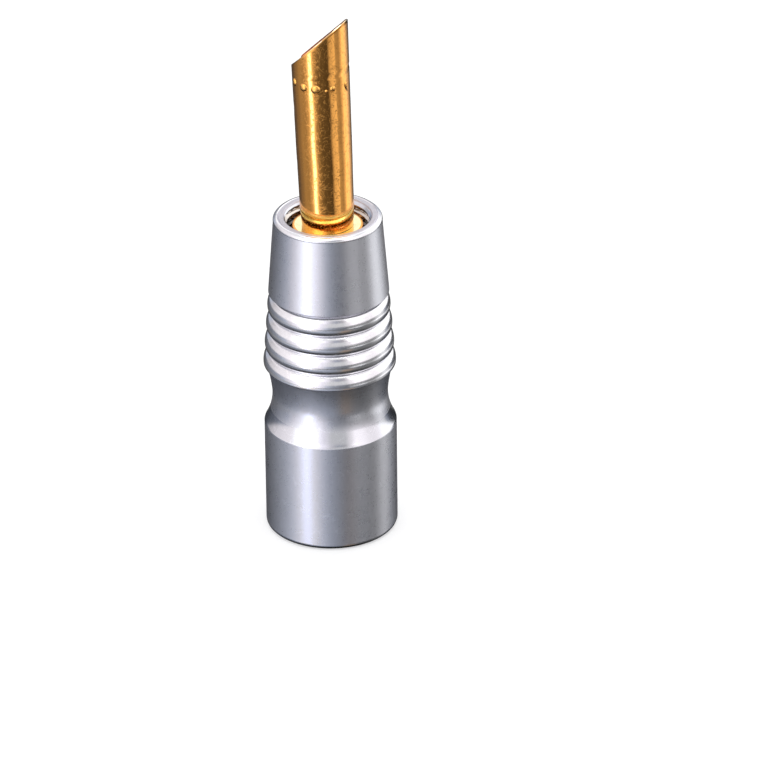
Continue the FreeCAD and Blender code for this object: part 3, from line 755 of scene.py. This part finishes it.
def edge_sink(distance, burr):
    """How far a rounded edge lies under the sheet's surface, at a distance from the border:
    round * (1 - sqrt(1 - (1 - distance / round) ** 2)), a quarter of a circle."""
    near = np.clip(1 - distance / burr, 0, 1)
    return burr * (1 - np.sqrt(1 - near ** 2))


def spaced(count, reach, burr):
    """Distances from 0 to a reach: even steps, with closer ones on the round of both edges."""
    lead = EDGE_STEPS * burr
    inner = np.linspace(0, 1, count)[1:-1]
    low, high = lead[-1], reach - lead[-1]
    return np.concatenate([lead, low + (high - low) * inner, reach - lead[::-1]])


def tube_radius(s, z):
    """Outer radius of the contact tube: it narrows a little towards the root, which curls in as a
    parabola, and above the straight stretch it widens evenly."""
    curl = np.clip(1 - z / s.curl, 0, 1)
    narrow = s.taper * (1 - smooth_step(z, s.taper_foot, s.straight)) + s.curl_in * curl ** 2
    return s.radius - narrow + np.clip(z - s.straight, 0, None) * s.flare


def slit_edge(s, z, side):
    """Direction of one edge of the slit: the gap opens evenly towards the tip while both edges
    swing together in a cosine wave that turns at the height of the dimples. Above them the far
    edge leans in."""
    lean_reach = 1.3 * MM
    gap = s.root_gap + (s.tip_gap - s.root_gap) * z / s.tip_height
    swing = s.wave_swing * np.cos(2 * np.pi * (z - s.dimple_height) / s.wave_pitch)
    lean = s.tip_lean * smooth_step(z, s.dimple_height, s.dimple_height + lean_reach) * (side < 0)
    return s.slit_side - swing + side * gap / 2 + lean


def tube_columns(s):
    """Places of the columns across the sheet, from 0 to 1: closer together at the dimples, by a
    density of 1 plus a bell curve over each dimple, and on the round of both edges."""
    gathering, bell_width, samples, room = 2.2, 1.3, 4000, 1.5
    first = slit_edge(s, s.dimple_height, 1) - 2 * np.pi
    reach = slit_edge(s, s.dimple_height, -1) - first
    place = np.linspace(0, 1, samples)
    density = np.ones_like(place)
    for aim, wide, tall, over in DIMPLES:
        middle = ((math.radians(aim) - first) % (2 * np.pi)) / reach
        width = s.dimple_width * wide / (s.radius * reach)
        density += gathering * np.exp(-((place - middle) / (bell_width * width)) ** 2)
    total = np.cumsum(density)
    steps = (total - total[0]) / (total[-1] - total[0])
    lead = EDGE_STEPS * s.burr / (s.radius * reach)
    inner = np.interp(np.linspace(0, 1, s.columns), steps, place)
    inner = inner[(inner > room * lead[-1]) & (inner < 1 - room * lead[-1])]
    return np.concatenate([lead, inner, 1 - lead[::-1]])


def tube_grid(s):
    """Direction and height of every point of the rolled sheet. Rows are level up to just under
    the tip and then fan out to the slanted cut, height = tip height + rise * radius *
    cos(direction), whose corners at the slit are rounded. Columns run from one edge of the slit
    to the other."""
    fan_foot, fan_reach, fan_rows = 0.3 * MM, 3 * MM, 24
    room, rounds = 1.6, 40
    dimple_zone, dimple_rows, below_rows, above_rows = (-0.50, 0.38), 40, 46, 4
    level_top = s.tip_height - s.tip_rise * tube_radius(s, s.tip_height) - fan_foot
    dimples = s.dimple_height + np.linspace(*dimple_zone, dimple_rows) * MM
    below = np.linspace(0, dimples[0], below_rows)[:-1]
    lead = EDGE_STEPS * s.burr / s.root_edge
    below = np.concatenate([lead - s.root_sunk, below[below > lead[-1] * room]])
    level = np.concatenate([below, dimples, np.linspace(dimples[-1], level_top, above_rows)[1:]])
    fan = spaced(fan_rows, 1.0, s.tip_lining / fan_reach)[len(EDGE_STEPS):]
    across = tube_columns(s)
    rows = np.concatenate([level, np.full(len(fan), level_top)])
    z = np.repeat(rows[:, None], len(across), axis=1)
    # The cut's height depends on the slit's edges, and these on the height: the rounds settle it
    for _ in range(rounds):
        first, last = slit_edge(s, z, 1) - 2 * np.pi, slit_edge(s, z, -1)
        direction = first + (last - first) * across
        radius = tube_radius(s, z)
        cut = s.tip_height + s.tip_rise * radius * np.cos(direction - s.tip_turn)
        beside = np.minimum(across, 1 - across) * (last - first) * radius
        cut = cut - edge_sink(beside, s.tip_corner)
        z[len(level):] = level_top + (cut[len(level):] - level_top) * fan[:, None]
    return direction, z, across, cut


def make_tube_piece():
    """The rolled tube: x = r cos(direction), y = r sin(direction). The outer side's r is the tube's
    radius plus the dimples' domes, the inner side's one sheet less, and both sink a little along
    the cut edges. Then it is leaned as the contact mount says."""
    dome_power, dome_rise, dome_inside = 0.6, 0.5, 0.7
    dimple_share, tip_share = 0.1, 0.25
    s = settings("tube")
    direction, z, across, cut = tube_grid(s)
    radius = tube_radius(s, z)
    width = (slit_edge(s, z, -1) - slit_edge(s, z, 1) + 2 * np.pi) * radius
    border = np.minimum(across, 1 - across) * width
    border = np.minimum(border, (z + s.root_sunk) * s.root_edge)
    slope = 1 / math.sqrt(1 + s.tip_rise ** 2)
    to_tip = (cut - z) * slope
    slit_sink, tip_sink = edge_sink(border, s.burr), edge_sink(to_tip, s.tip_burr)
    sink = np.maximum(slit_sink, tip_sink)
    inner_sink = np.maximum(slit_sink * s.inner_edge, edge_sink(to_tip, s.tip_lining))
    proud = np.zeros_like(z)
    for aim, wide, tall, over in DIMPLES:
        off = (direction - math.radians(aim) + np.pi) % (2 * np.pi) - np.pi
        away = (off * radius / (s.dimple_width * wide)) ** 2
        away += ((z - s.dimple_height - over * MM) / (s.dimple_tall * tall)) ** 2
        dome = np.clip(1 - away, 0, None) ** dome_power
        proud = np.maximum(proud, s.dimple_proud * min(wide, tall) ** dome_rise * dome)
    turn = contact_turn()
    sides = []
    for depth in (proud - sink, proud * dome_inside - s.sheet + inner_sink):
        r = radius + depth
        local = np.stack([r * np.cos(direction), r * np.sin(direction), z], axis=-1)
        sides.append(local @ turn[:, :3].T + turn[:, 3])
    plate, inside_painted_shade, dimple, edge = range(4)
    slit_edges = border < EDGE_SHARE * s.burr
    # Dimples take a painted highlight: a lighter plate that stands in for the light they catch
    outer_marks = np.where(proud > dimple_share * s.dimple_proud, dimple, plate)
    outer_marks = np.where(slit_edges | (to_tip < tip_share * s.tip_burr), edge, outer_marks)
    # The inner side takes painted shade, a dark plate colour where the inside lies in shade
    inner_marks = np.where(slit_edges & (to_tip > s.tip_corner), edge, inside_painted_shade)
    finishes = [gold("gold_plate_polished"), gold("gold_plate_inside"),
                gold("gold_plate_dimples"), gold("gold_plate_edge")]
    return sheet_object("contact_tube_rolled", *sides, finishes, (outer_marks, inner_marks),
                        (plate, inside_painted_shade, edge, edge))


def contact_turn():
    """Turn and place of the contact tube as a 3 by 4 array. Its axis is the contact mount's, and
    its long side lies opposite to the way it leans."""
    s = settings("tube")
    up = np.array(CONTACT_MOUNT["axis"])
    middle = np.array(CONTACT_MOUNT["pos_m"])
    long_side = np.array([-up[0], -up[1], 0.0])
    long_side -= up * (long_side @ up)
    long_side /= np.linalg.norm(long_side)
    foot = middle - up * s.mount_height
    return np.column_stack([long_side, np.cross(up, long_side), up, foot])


def make_bush_piece():
    """The bush is a strip rolled to a cylinder: x = r cos(a), y = r sin(a), between the two edges
    of a seam that strays from side to side and leaves a ragged gap. The strip has its own random
    lines for the drift of the seam, the width of the gap and the far edge."""
    s = settings("bush")
    inner = ENTRY_MOUNT["dims"]["r_mm"] * MM
    reach = BUSH_TOP.z - BUSH_FOOT.z
    burr, mouth_slope = 0.03 * MM, 0.9
    gap_waves, edge_waves = 5, 7
    drift_seed, gap_seed, edge_seed = 5, 11, 3
    along = spaced(s.rows, reach, burr)[:, None]
    width = 2 * np.pi * inner
    across = spaced(s.columns, width, burr)[None, :] / width
    share_up = along / reach
    drift = s.seam_wander * wander(share_up, drift_seed) / inner
    ragged = s.seam_gap * (0.6 + 0.4 * wander(share_up * gap_waves, gap_seed)) / inner
    low = s.seam_angle + drift + ragged / 2
    high = s.seam_angle + drift - ragged / 2 + 2 * np.pi
    high = high + 0.25 * ragged * wander(share_up * edge_waves, edge_seed)
    direction = low + (high - low) * across
    z = BUSH_FOOT.z + np.repeat(along, across.shape[1], axis=1)
    border = np.minimum(np.minimum(across, 1 - across) * width, np.minimum(along, reach - along))
    sink = edge_sink(border, burr)
    lead_in = np.clip(s.lead_in - along, 0, None) * mouth_slope
    sides = []
    for r in (inner + s.wall - sink, np.minimum(inner + lead_in + sink, inner + s.wall - sink)):
        r = np.broadcast_to(r, direction.shape)
        sides.append(np.stack([r * np.cos(direction), r * np.sin(direction), z], axis=-1))
    marks = (border < EDGE_SHARE * burr).astype(int)
    finishes = [gold("gold_plate_scored"), gold("gold_plate_edge")]
    return sheet_object("rear_bush_rolled", *sides, finishes, (marks, marks), (1, 1, 1, 1))


class NodeBuilder:
    """Short words for building a material's nodes."""

    def __init__(self, tree):
        self.tree = tree
        tree.nodes.clear()

    def add(self, kind, **values):
        """A node of a kind, with its options set."""
        node = self.tree.nodes.new(kind)
        for name, value in values.items():
            setattr(node, name, value)
        return node

    def link(self, source, target):
        """Links an output to an input."""
        self.tree.links.new(source, target)

    def feed(self, socket, value):
        """Links a socket, or sets a plain value on it."""
        if isinstance(value, bpy.types.NodeSocket):
            self.link(value, socket)
        else:
            socket.default_value = value

    def math(self, operation, first, second=0.0, third=0.0, clamp=False):
        """Result of a sum, product or other operation."""
        node = self.add("ShaderNodeMath", operation=operation, use_clamp=clamp)
        for socket, value in zip(node.inputs, (first, second, third)):
            self.feed(socket, value)
        return node.outputs[0]

    def step(self, value, low, high, out_low=0.0, out_high=1.0):
        """Smooth step of a value between two limits."""
        node = self.add("ShaderNodeMapRange", interpolation_type="SMOOTHSTEP")
        for socket, item in zip(node.inputs, (value, low, high, out_low, out_high)):
            self.feed(socket, item)
        return node.outputs[0]

    def stretched(self, coordinates, scale, turn=(0.0, 0.0, 0.0)):
        """Coordinates turned and scaled along each axis."""
        node = self.add("ShaderNodeMapping")
        self.feed(node.inputs["Vector"], coordinates)
        node.inputs["Scale"].default_value = scale
        node.inputs["Rotation"].default_value = turn
        return node.outputs[0]

    def noise(self, coordinates, scale, detail=3.0, roughness=0.55, distortion=0.0):
        """Smooth noise between 0 and 1."""
        node = self.add("ShaderNodeTexNoise")
        self.feed(node.inputs["Vector"], coordinates)
        for name, value in (("Scale", scale), ("Detail", detail), ("Roughness", roughness),
                            ("Distortion", distortion)):
            node.inputs[name].default_value = value
        return node.outputs[0]

    def bump(self, height, distance, normal=None):
        """A normal bent by a height that stands out by a distance."""
        node = self.add("ShaderNodeBump")
        self.feed(node.inputs["Height"], height)
        node.inputs["Distance"].default_value = distance
        node.inputs["Strength"].default_value = 1.0
        if normal:
            self.link(normal, node.inputs["Normal"])
        return node.outputs[0]

    def tint(self, base, factor, other):
        """Colour between a base and another by a factor."""
        node = self.add("ShaderNodeMix", data_type="RGBA")
        self.feed(node.inputs["Factor"], factor)
        self.feed(node.inputs["A"], base)
        self.feed(node.inputs["B"], other)
        return node.outputs["Result"]

    def vector(self, operation, first, second=None, output="Vector"):
        """Result of an operation on vectors."""
        node = self.add("ShaderNodeVectorMath", operation=operation)
        self.link(first, node.inputs[0])
        if second is not None:
            node.inputs[1].default_value = second
        return node.outputs[output]

    def parts(self, vector):
        """The X, Y and Z of a vector."""
        node = self.add("ShaderNodeSeparateXYZ")
        self.link(vector, node.inputs[0])
        return node.outputs

    def mixed(self, factor, first, second):
        """A shader between two others by a factor."""
        node = self.add("ShaderNodeMixShader")
        for socket, value in zip(node.inputs, (factor, first, second)):
            self.feed(socket, value)
        return node.outputs[0]

    def surface(self, shader, output="ShaderNodeOutputMaterial"):
        """Hands a shader to the material's or the world's output."""
        self.link(shader, self.add(output).inputs["Surface"])


def new_metal(name):
    """A metal material, its node builder, its shader and the place in millimetres."""
    known = bpy.data.materials.get(name)
    if known:
        return known, None, None, None
    material = bpy.data.materials.new(name)
    material.use_nodes = True
    nodes = NodeBuilder(material.node_tree)
    shader = nodes.add("ShaderNodeBsdfPrincipled")
    shader.inputs["Metallic"].default_value = 1.0
    nodes.surface(shader.outputs[0])
    place = nodes.add("ShaderNodeTexCoord").outputs["Object"]
    return material, nodes, shader, nodes.stretched(place, (1 / MM,) * 3)


def shaded(base, factor):
    """A colour scaled by a factor, with full alpha."""
    return tuple(min(1.0, c * factor) for c in base) + (1.0,)


def swirls(nodes, place, scale, turn, width):
    """Hair-fine curved scratches: the lines along which a smooth, warped noise passes its middle
    value, kept in patches."""
    warped = nodes.stretched(place, (1.0, 1.0, 0.75), turn)
    field = nodes.noise(warped, scale, detail=1.0, roughness=0.5, distortion=1.4)
    away = nodes.math("ABSOLUTE", nodes.math("SUBTRACT", field, 0.5))
    line = nodes.step(away, 0.0, width, 1.0, 0.0)
    patches = nodes.noise(nodes.stretched(place, (1, 1, 1), turn), 1.7 * scale, detail=2.0)
    return nodes.math("MULTIPLY", line, nodes.step(patches, 0.44, 0.60))


def aluminium(name):
    """Aluminium with turning marks, the short streaks of a blasted and brushed grain, and a few
    swirls. Turning marks are a noise that is stretched round the piece, or out from the axis on a
    cut face. In the threaded bore, under its first grooves, the colour is darkened as painted shade."""
    material, nodes, shader, place = new_metal(name)
    if nodes is None:
        return material
    finish = settings("finish")
    tone, gloss, turning, grain, mottling = ALUMINIUM[name]
    base, roughness = getattr(finish, tone), getattr(finish, gloss)
    # The matt share of the ribs, under their lighter colour, paints their highlight
    metal = {"ribs": finish.ribs_highlight_metal, "cut_face": finish.cut_metal}.get(tone, 1.0)

    if tone == "cut_face":
        ray = nodes.vector("NORMALIZE", nodes.vector("MULTIPLY", place, (1.0, 1.0, 0.0)))
        rings = nodes.noise(ray, 26.0, detail=4.0, roughness=0.7)
    else:
        round_piece = nodes.stretched(place, (0.12, 0.12, 9.0))
        rings = nodes.noise(round_piece, 1.0, detail=5.0, roughness=0.62)
    fine = nodes.noise(place, 4.5, detail=4.0, roughness=0.7)
    upward = nodes.stretched(place, (5.0, 5.0, 1.3))
    upright = nodes.noise(upward, 1.0, detail=3.0, roughness=0.6)
    aslant = nodes.stretched(place, (4.5, 4.5, 1.1), (0.7, 0.5, 0.0))
    slanted = nodes.noise(aslant, 1.0, detail=3.0, roughness=0.6)
    cloud = nodes.noise(place, 0.9, detail=3.0, roughness=0.5)
    scratch = swirls(nodes, place, 0.7, (0.5, 0.4, 0.2), 0.016)

    # The mottling takes 4 parts of the fine grain, 4 of the streaks and 2 of the cloud
    streaks = nodes.math("MULTIPLY_ADD", upright, 0.5, nodes.math("MULTIPLY", slanted, 0.5))
    mottle = nodes.math("MULTIPLY_ADD", fine, 0.4, nodes.math("MULTIPLY", streaks, 0.4))
    mottle = nodes.math("MULTIPLY_ADD", cloud, 0.2, mottle)
    mottle = nodes.step(mottle, 0.30, 0.70)
    scratch_light, scratch_cover = 1.22, 0.5
    skin = nodes.tint(shaded(base, 1 - mottling), mottle, shaded(base, 1 + mottling))
    cover = nodes.math("MULTIPLY", scratch, scratch_cover)
    skin = nodes.tint(skin, cover, shaded(base, scratch_light))
    # Painted shade: the bore's colour darkens with depth under its first grooves
    if tone == "bore":
        top = BARREL_TOP.z / MM
        lit = nodes.step(nodes.parts(place)["Z"], top - BORE_SHADE[0], top - BORE_SHADE[1])
        skin = nodes.tint(shaded(base, BORE_PAINTED_SHADE), lit, skin)
    nodes.link(skin, shader.inputs["Base Color"])
    shader.inputs["Metallic"].default_value = metal

    # Mottling and turning marks both swing the roughness round its setting
    swing = 0.06
    rough = nodes.math("MULTIPLY_ADD", mottle, swing, roughness - swing / 2)
    rough = nodes.math("SUBTRACT", rough, swing / 2)
    rough = nodes.math("MULTIPLY_ADD", rings, swing, rough, clamp=True)
    nodes.link(rough, shader.inputs["Roughness"])
    normal = nodes.bump(rings, turning * MM)
    normal = nodes.bump(cloud, 1.5 * grain * MM, normal)
    normal = nodes.bump(nodes.math("ADD", fine, streaks), grain * MM, normal)
    nodes.link(normal, shader.inputs["Normal"])
    return material


def gold(name):
    """Gold plate over polished brass, with swirls from handling in several directions and score
    marks that run round the piece. A painted highlight runs round the plate over the tube's root: a
    brighter, less mirror-like band of colour that stands in for the reflection of the flange."""
    material, nodes, shader, place = new_metal(name)
    if nodes is None:
        return material
    finish = settings("finish")
    tone, rougher, scratches, score = GOLD[name]
    base, roughness = getattr(finish, tone), finish.plate + rougher

    cloud = nodes.noise(place, 0.6, detail=3.0, roughness=0.55)
    fine = nodes.noise(place, 5.0, detail=3.0, roughness=0.6)
    round_piece = nodes.stretched(place, (0.35, 0.35, 14.0))
    rings = nodes.noise(round_piece, 1.0, detail=4.0, roughness=0.65)
    hair = 0.013
    lines = swirls(nodes, place, 0.75, (0.1, 0.2, 0.3), hair)
    for scale, turn in ((1.0, (0.9, 0.4, 1.7)), (1.35, (2.1, 1.2, 0.6)), (1.8, (0.4, 2.2, 2.7))):
        lines = nodes.math("MAXIMUM", lines, swirls(nodes, place, scale, turn, hair * scale))

    mottling = 0.07
    skin = nodes.tint(shaded(base, 1 - mottling), cloud, shaded(base, 1 + mottling))
    # Painted highlight over the tube's root: a band of brighter, less mirror-like plate
    if name == "gold_plate_polished":
        flange = settings("hub").flange_top / MM
        height = nodes.parts(place)["Z"]
        over_foot = nodes.step(height, flange + PAINTED_HIGHLIGHT_FOOT[0], flange + PAINTED_HIGHLIGHT_FOOT[1])
        under_top = nodes.step(height, flange + PAINTED_HIGHLIGHT_TOP[0], flange + PAINTED_HIGHLIGHT_TOP[1], 1.0, 0.0)
        ring = nodes.math("MULTIPLY", over_foot, under_top)
        skin = nodes.tint(skin, ring, shaded(finish.root, 1.0))
        metal = nodes.math("MULTIPLY_ADD", ring, finish.root_highlight_metal - 1.0, 1.0)
        nodes.link(metal, shader.inputs["Metallic"])
    nodes.link(skin, shader.inputs["Base Color"])

    # The fine noise and the cloud swing the roughness round its setting, and scratches add to it
    fine_swing, cloud_swing, scratch_rough = 0.03, 0.06, 0.26
    rough = nodes.math("MULTIPLY_ADD", fine, fine_swing, roughness - fine_swing / 2)
    rough = nodes.math("SUBTRACT", rough, cloud_swing / 2)
    rough = nodes.math("MULTIPLY_ADD", cloud, cloud_swing, rough)
    rough = nodes.math("MULTIPLY_ADD", lines, scratch_rough, rough, clamp=True)
    nodes.link(rough, shader.inputs["Roughness"])
    dents, dent_depth = nodes.noise(place, 1.1, detail=2.0), 0.0025 * MM
    normal = nodes.bump(rings, score * MM)
    normal = nodes.bump(dents, dent_depth, normal)
    normal = nodes.bump(nodes.math("SUBTRACT", 1.0, lines), scratches * MM, normal)
    nodes.link(normal, shader.inputs["Normal"])
    return material


def card_ramp(nodes, turn, cards):
    """Light of one ring of cards along the turn round the plug, as a colour."""
    node = nodes.add("ShaderNodeValToRGB")
    nodes.link(turn, node.inputs[0])
    ramp = node.color_ramp
    ramp.interpolation = "EASE"
    while len(ramp.elements) < len(cards):
        ramp.elements.new(0.5)
    # A ramp sorts its stops as they are placed, so all are placed before they are coloured
    for element, card in zip(ramp.elements, cards):
        element.position = card[0] / 360 + 0.5
    for element, (_, level, tone) in zip(ramp.elements, cards):
        element.color = [c * level / BRIGHTEST_CARD for c in tone] + [1.0]
    return node.outputs[0]


def grey_light(level):
    """A plain card of a level, as a colour on the scale of the brightest card."""
    return (level / BRIGHTEST_CARD,) * 3 + (1.0,)


def direction_nodes(nodes):
    """Turn round the plug from 0 to 1 and steepness of the place on a tent that is centred on the
    plug: the angle of x over -y, and z over the distance."""
    place = nodes.add("ShaderNodeTexCoord").outputs["Object"]
    x, y, z = nodes.parts(nodes.vector("NORMALIZE", place))
    turn = nodes.math("ARCTAN2", x, nodes.math("MULTIPLY", y, -1.0))
    return nodes.math("MULTIPLY_ADD", turn, 1 / (2 * math.pi), 0.5), z


def tent_light(nodes):
    """Light of the tent: rings of cards between a dark foot and a bright top, which run into each
    other along the steepness. It covers all of the tent."""
    turn, z = direction_nodes(nodes)
    light = grey_light(NADIR_LEVEL)
    for cards, steps in RINGS:
        light = nodes.tint(light, nodes.step(z, *steps), card_ramp(nodes, turn, cards))
    return nodes.tint(light, nodes.step(z, *TOP_STEPS), grey_light(TOP_LEVEL)), 1.0


def band_light(nodes):
    """Light of the band that the contact tube mirrors: one ring of cards between two heights,
    which are measured along the band's lean and at which it fades."""
    s = settings("stage")
    turn, _ = direction_nodes(nodes)
    place = nodes.add("ShaderNodeTexCoord").outputs["Object"]
    height = nodes.vector("DOT_PRODUCT", place, s.band_lean, "Value")
    over_foot = nodes.step(height, s.band_foot, s.band_foot + s.band_fade)
    under_top = nodes.step(height, s.band_top - s.band_fade, s.band_top, 1.0, 0.0)
    return card_ramp(nodes, turn, TUBE_CARDS), nodes.math("MULTIPLY", over_foot, under_top)


def studio_piece(name, points, faces, hidden_from):
    """A piece of the studio that the named rays pass by. Returns the nodes of its material."""
    mesh = bpy.data.meshes.new(name)
    mesh.from_pydata(points.reshape(-1, 3), [], faces.reshape(-1, 4))
    piece = bpy.data.objects.new(name, mesh)
    bpy.context.scene.collection.objects.link(piece)
    material = bpy.data.materials.new(name)
    material.use_nodes = True
    mesh.materials.append(material)
    for rays in hidden_from:
        setattr(piece, "visible_" + rays, False)
    return NodeBuilder(material.node_tree)


def light_cards(name, radii, heights, light):
    """Cards that stand round the plug on a surface of revolution, x = radius * cos(turn),
    y = radius * sin(turn), give off the light that their nodes work out and are seen by the metals
    alone."""
    turn = np.linspace(0, 2 * np.pi, CARD_COLUMNS, endpoint=False)
    points = np.stack([np.outer(radii, np.cos(turn)), np.outer(radii, np.sin(turn)),
                       np.repeat(np.array(heights)[:, None], len(turn), axis=1)], axis=-1)
    faces = grid_faces(len(radii), len(turn), False, True)
    nodes = studio_piece(name, points, faces, ("camera", "diffuse", "shadow", "transmission"))
    glow = nodes.add("ShaderNodeEmission")
    clear = nodes.add("ShaderNodeBsdfTransparent")
    colour_of_light, cover = light(nodes)
    nodes.link(colour_of_light, glow.inputs["Color"])
    glow.inputs["Strength"].default_value = BRIGHTEST_CARD * settings("stage").level
    nodes.surface(nodes.mixed(cover, clear.outputs[0], glow.outputs[0]))


def make_world():
    """The world is plain white, and for matt surfaces a sky over a darker ground."""
    s = settings("stage")
    world = bpy.data.worlds.new("studio")
    world.use_nodes = True
    bpy.context.scene.world = world
    nodes = NodeBuilder(world.node_tree)
    white, dim = nodes.add("ShaderNodeBackground"), nodes.add("ShaderNodeBackground")
    for light in (white, dim):
        light.inputs["Color"].default_value = (1.0, 1.0, 1.0, 1.0)
    way = nodes.add("ShaderNodeTexCoord").outputs["Generated"]
    sky = nodes.step(nodes.parts(way)["Z"], *HORIZON, s.ground_level, s.sky_level)
    nodes.link(sky, dim.inputs["Strength"])
    seen = nodes.add("ShaderNodeLightPath").outputs
    shows = nodes.math("MAXIMUM", seen["Is Camera Ray"], seen["Is Glossy Ray"])
    shows = nodes.math("MAXIMUM", shows, seen["Is Transmission Ray"])
    nodes.surface(nodes.mixed(shows, dim.outputs[0], white.outputs[0]), "ShaderNodeOutputWorld")


def make_cards():
    """A tent of light cards round the plug, x = radius * cos(angle) and z = radius * sin(angle),
    with a narrow band of cards inside it that stands where the contact tube mirrors and leans
    with it."""
    s = settings("stage")
    tent_rows, band_rows = 49, 5
    angles = np.linspace(-np.pi / 2, np.pi / 2, tent_rows)
    light_cards("light_tent", s.tent_radius * np.cos(angles), s.tent_radius * np.sin(angles),
                tent_light)
    slack = s.band_radius * math.hypot(s.band_lean[0], s.band_lean[1])
    heights = np.linspace(s.band_foot - slack, s.band_top + slack, band_rows)
    light_cards("tube_cards", np.full(band_rows, s.band_radius), heights, band_light)


def make_floor():
    """A white floor that keeps the plug's soft shadow. The metals look past it to the tent."""
    s = settings("stage")
    corners = [(-1, -1), (1, -1), (1, 1), (-1, 1)]
    points = np.array([(x * s.floor_size, y * s.floor_size, -s.floor_gap) for x, y in corners])
    nodes = studio_piece("floor", points, np.arange(4),
                         ("diffuse", "glossy", "transmission", "shadow"))
    paper = nodes.add("ShaderNodeBsdfDiffuse")
    paper.inputs["Color"].default_value = (0.95, 0.95, 0.95, 1.0)
    glow = nodes.add("ShaderNodeEmission")
    seen = nodes.add("ShaderNodeLightPath").outputs
    white = nodes.math("MULTIPLY", seen["Is Camera Ray"], s.floor_white)
    nodes.surface(nodes.mixed(white, paper.outputs[0], glow.outputs[0]))


def make_lamp():
    """One large soft lamp over the plug."""
    s = settings("stage")
    lamp = bpy.data.lights.new("overhead_lamp", "AREA")
    lamp.shape = "SQUARE"
    lamp.size = s.lamp_size
    lamp.energy = s.lamp_power * s.level
    holder = bpy.data.objects.new("overhead_lamp", lamp)
    holder.location = (0, 0, s.lamp_height)
    holder.visible_camera = False
    bpy.context.scene.collection.objects.link(holder)


def make_camera():
    """The camera stands in front of the plug, looks at the middle of the picture and is rolled a
    little about its own axis."""
    s = settings("stage")
    data = bpy.data.cameras.new("camera")
    data.lens = s.lens
    data.sensor_width = 36.0
    data.clip_start = 0.01
    data.clip_end = 20.0
    camera = bpy.data.objects.new("camera", data)
    place = Vector((0, -s.camera_back, s.camera_rise))
    aim = Vector((s.aim_side, 0, s.aim_height))
    look = (aim - place).to_track_quat("-Z", "Y").to_matrix().to_4x4()
    camera.matrix_world = Matrix.Translation(place) @ look @ Matrix.Rotation(s.camera_roll, 4, "Z")
    bpy.context.scene.collection.objects.link(camera)
    bpy.context.scene.camera = camera


def place_piece(piece, body, node):
    """Hands a finished piece to the frame: what it rides on and what it replaces."""
    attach(piece, body)
    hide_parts(node)


class PLUG_OT_barrel(Operator):
    """Model the turned barrel with its ribs, its waist and the thread in its nose"""
    bl_idname = "banana_plug.barrel"
    bl_label = "Barrel"

    def execute(self, context):
        place_piece(make_barrel_piece(), "barrel", "barrel")
        return {"FINISHED"}


class PLUG_OT_bush(Operator):
    """Model the gold bush in the cable entry with its ragged seam"""
    bl_idname = "banana_plug.bush"
    bl_label = "Rear bush"

    def execute(self, context):
        place_piece(make_bush_piece(), "barrel", "rear_bush")
        return {"FINISHED"}


class PLUG_OT_hub(Operator):
    """Model the threaded hub with its flange and spigot"""
    bl_idname = "banana_plug.hub"
    bl_label = "Hub"

    def execute(self, context):
        place_piece(make_hub_piece(), "hub", "hub")
        return {"FINISHED"}


class PLUG_OT_tube(Operator):
    """Model the rolled contact tube with its wavy slit, slanted tip and dimples"""
    bl_idname = "banana_plug.tube"
    bl_label = "Contact tube"

    def execute(self, context):
        place_piece(make_tube_piece(), "hub", "contact_tube")
        return {"FINISHED"}


class PLUG_OT_collet(Operator):
    """Finish the split collet in scored gold plate"""
    bl_idname = "banana_plug.collet"
    bl_label = "Collet"

    def execute(self, context):
        collet = frame["nodes"]["collet"]
        collet.data.materials.clear()
        collet.data.materials.append(gold("gold_plate_scored"))
        return {"FINISHED"}


class PLUG_OT_stage(Operator):
    """Set up the floor, the studio light and the camera"""
    bl_idname = "banana_plug.stage"
    bl_label = "Stage"

    def execute(self, context):
        make_world()
        make_cards()
        make_floor()
        make_lamp()
        make_camera()
        return {"FINISHED"}


class PLUG_PT_pieces(Panel):
    """The plug's pieces in the sidebar"""
    bl_label = "Banana Plug"
    bl_idname = "PLUG_PT_pieces"
    bl_space_type = "VIEW_3D"
    bl_region_type = "UI"
    bl_category = "Banana Plug"

    def draw(self, context):
        for operator in PIECES:
            self.layout.operator(operator.bl_idname)


GROUPS = {
    "barrel": BarrelSettings,
    "thread": ThreadSettings,
    "hub": HubSettings,
    "tube": TubeSettings,
    "bush": BushSettings,
    "finish": FinishSettings,
    "stage": StageSettings,
}
PIECES = (PLUG_OT_barrel, PLUG_OT_bush, PLUG_OT_hub, PLUG_OT_tube, PLUG_OT_collet, PLUG_OT_stage)


def register():
    """Registers the settings, the operators and the panel."""
    for kind, group in GROUPS.items():
        bpy.utils.register_class(group)
        setattr(bpy.types.Scene, "banana_plug_" + kind, PointerProperty(type=group))
    for item in (*PIECES, PLUG_PT_pieces):
        bpy.utils.register_class(item)


def unregister():
    """Takes them all back, in the opposite order."""
    for item in reversed((*PIECES, PLUG_PT_pieces)):
        bpy.utils.unregister_class(item)
    for kind, group in reversed(GROUPS.items()):
        delattr(bpy.types.Scene, "banana_plug_" + kind)
        bpy.utils.unregister_class(group)


def main():
    register()
    bpy.context.scene.view_settings.view_transform = "Standard"
    for operator in PIECES:
        group, name = operator.bl_idname.split(".")
        getattr(getattr(bpy.ops, group), name)()


if __name__ == "__main__":
    main()
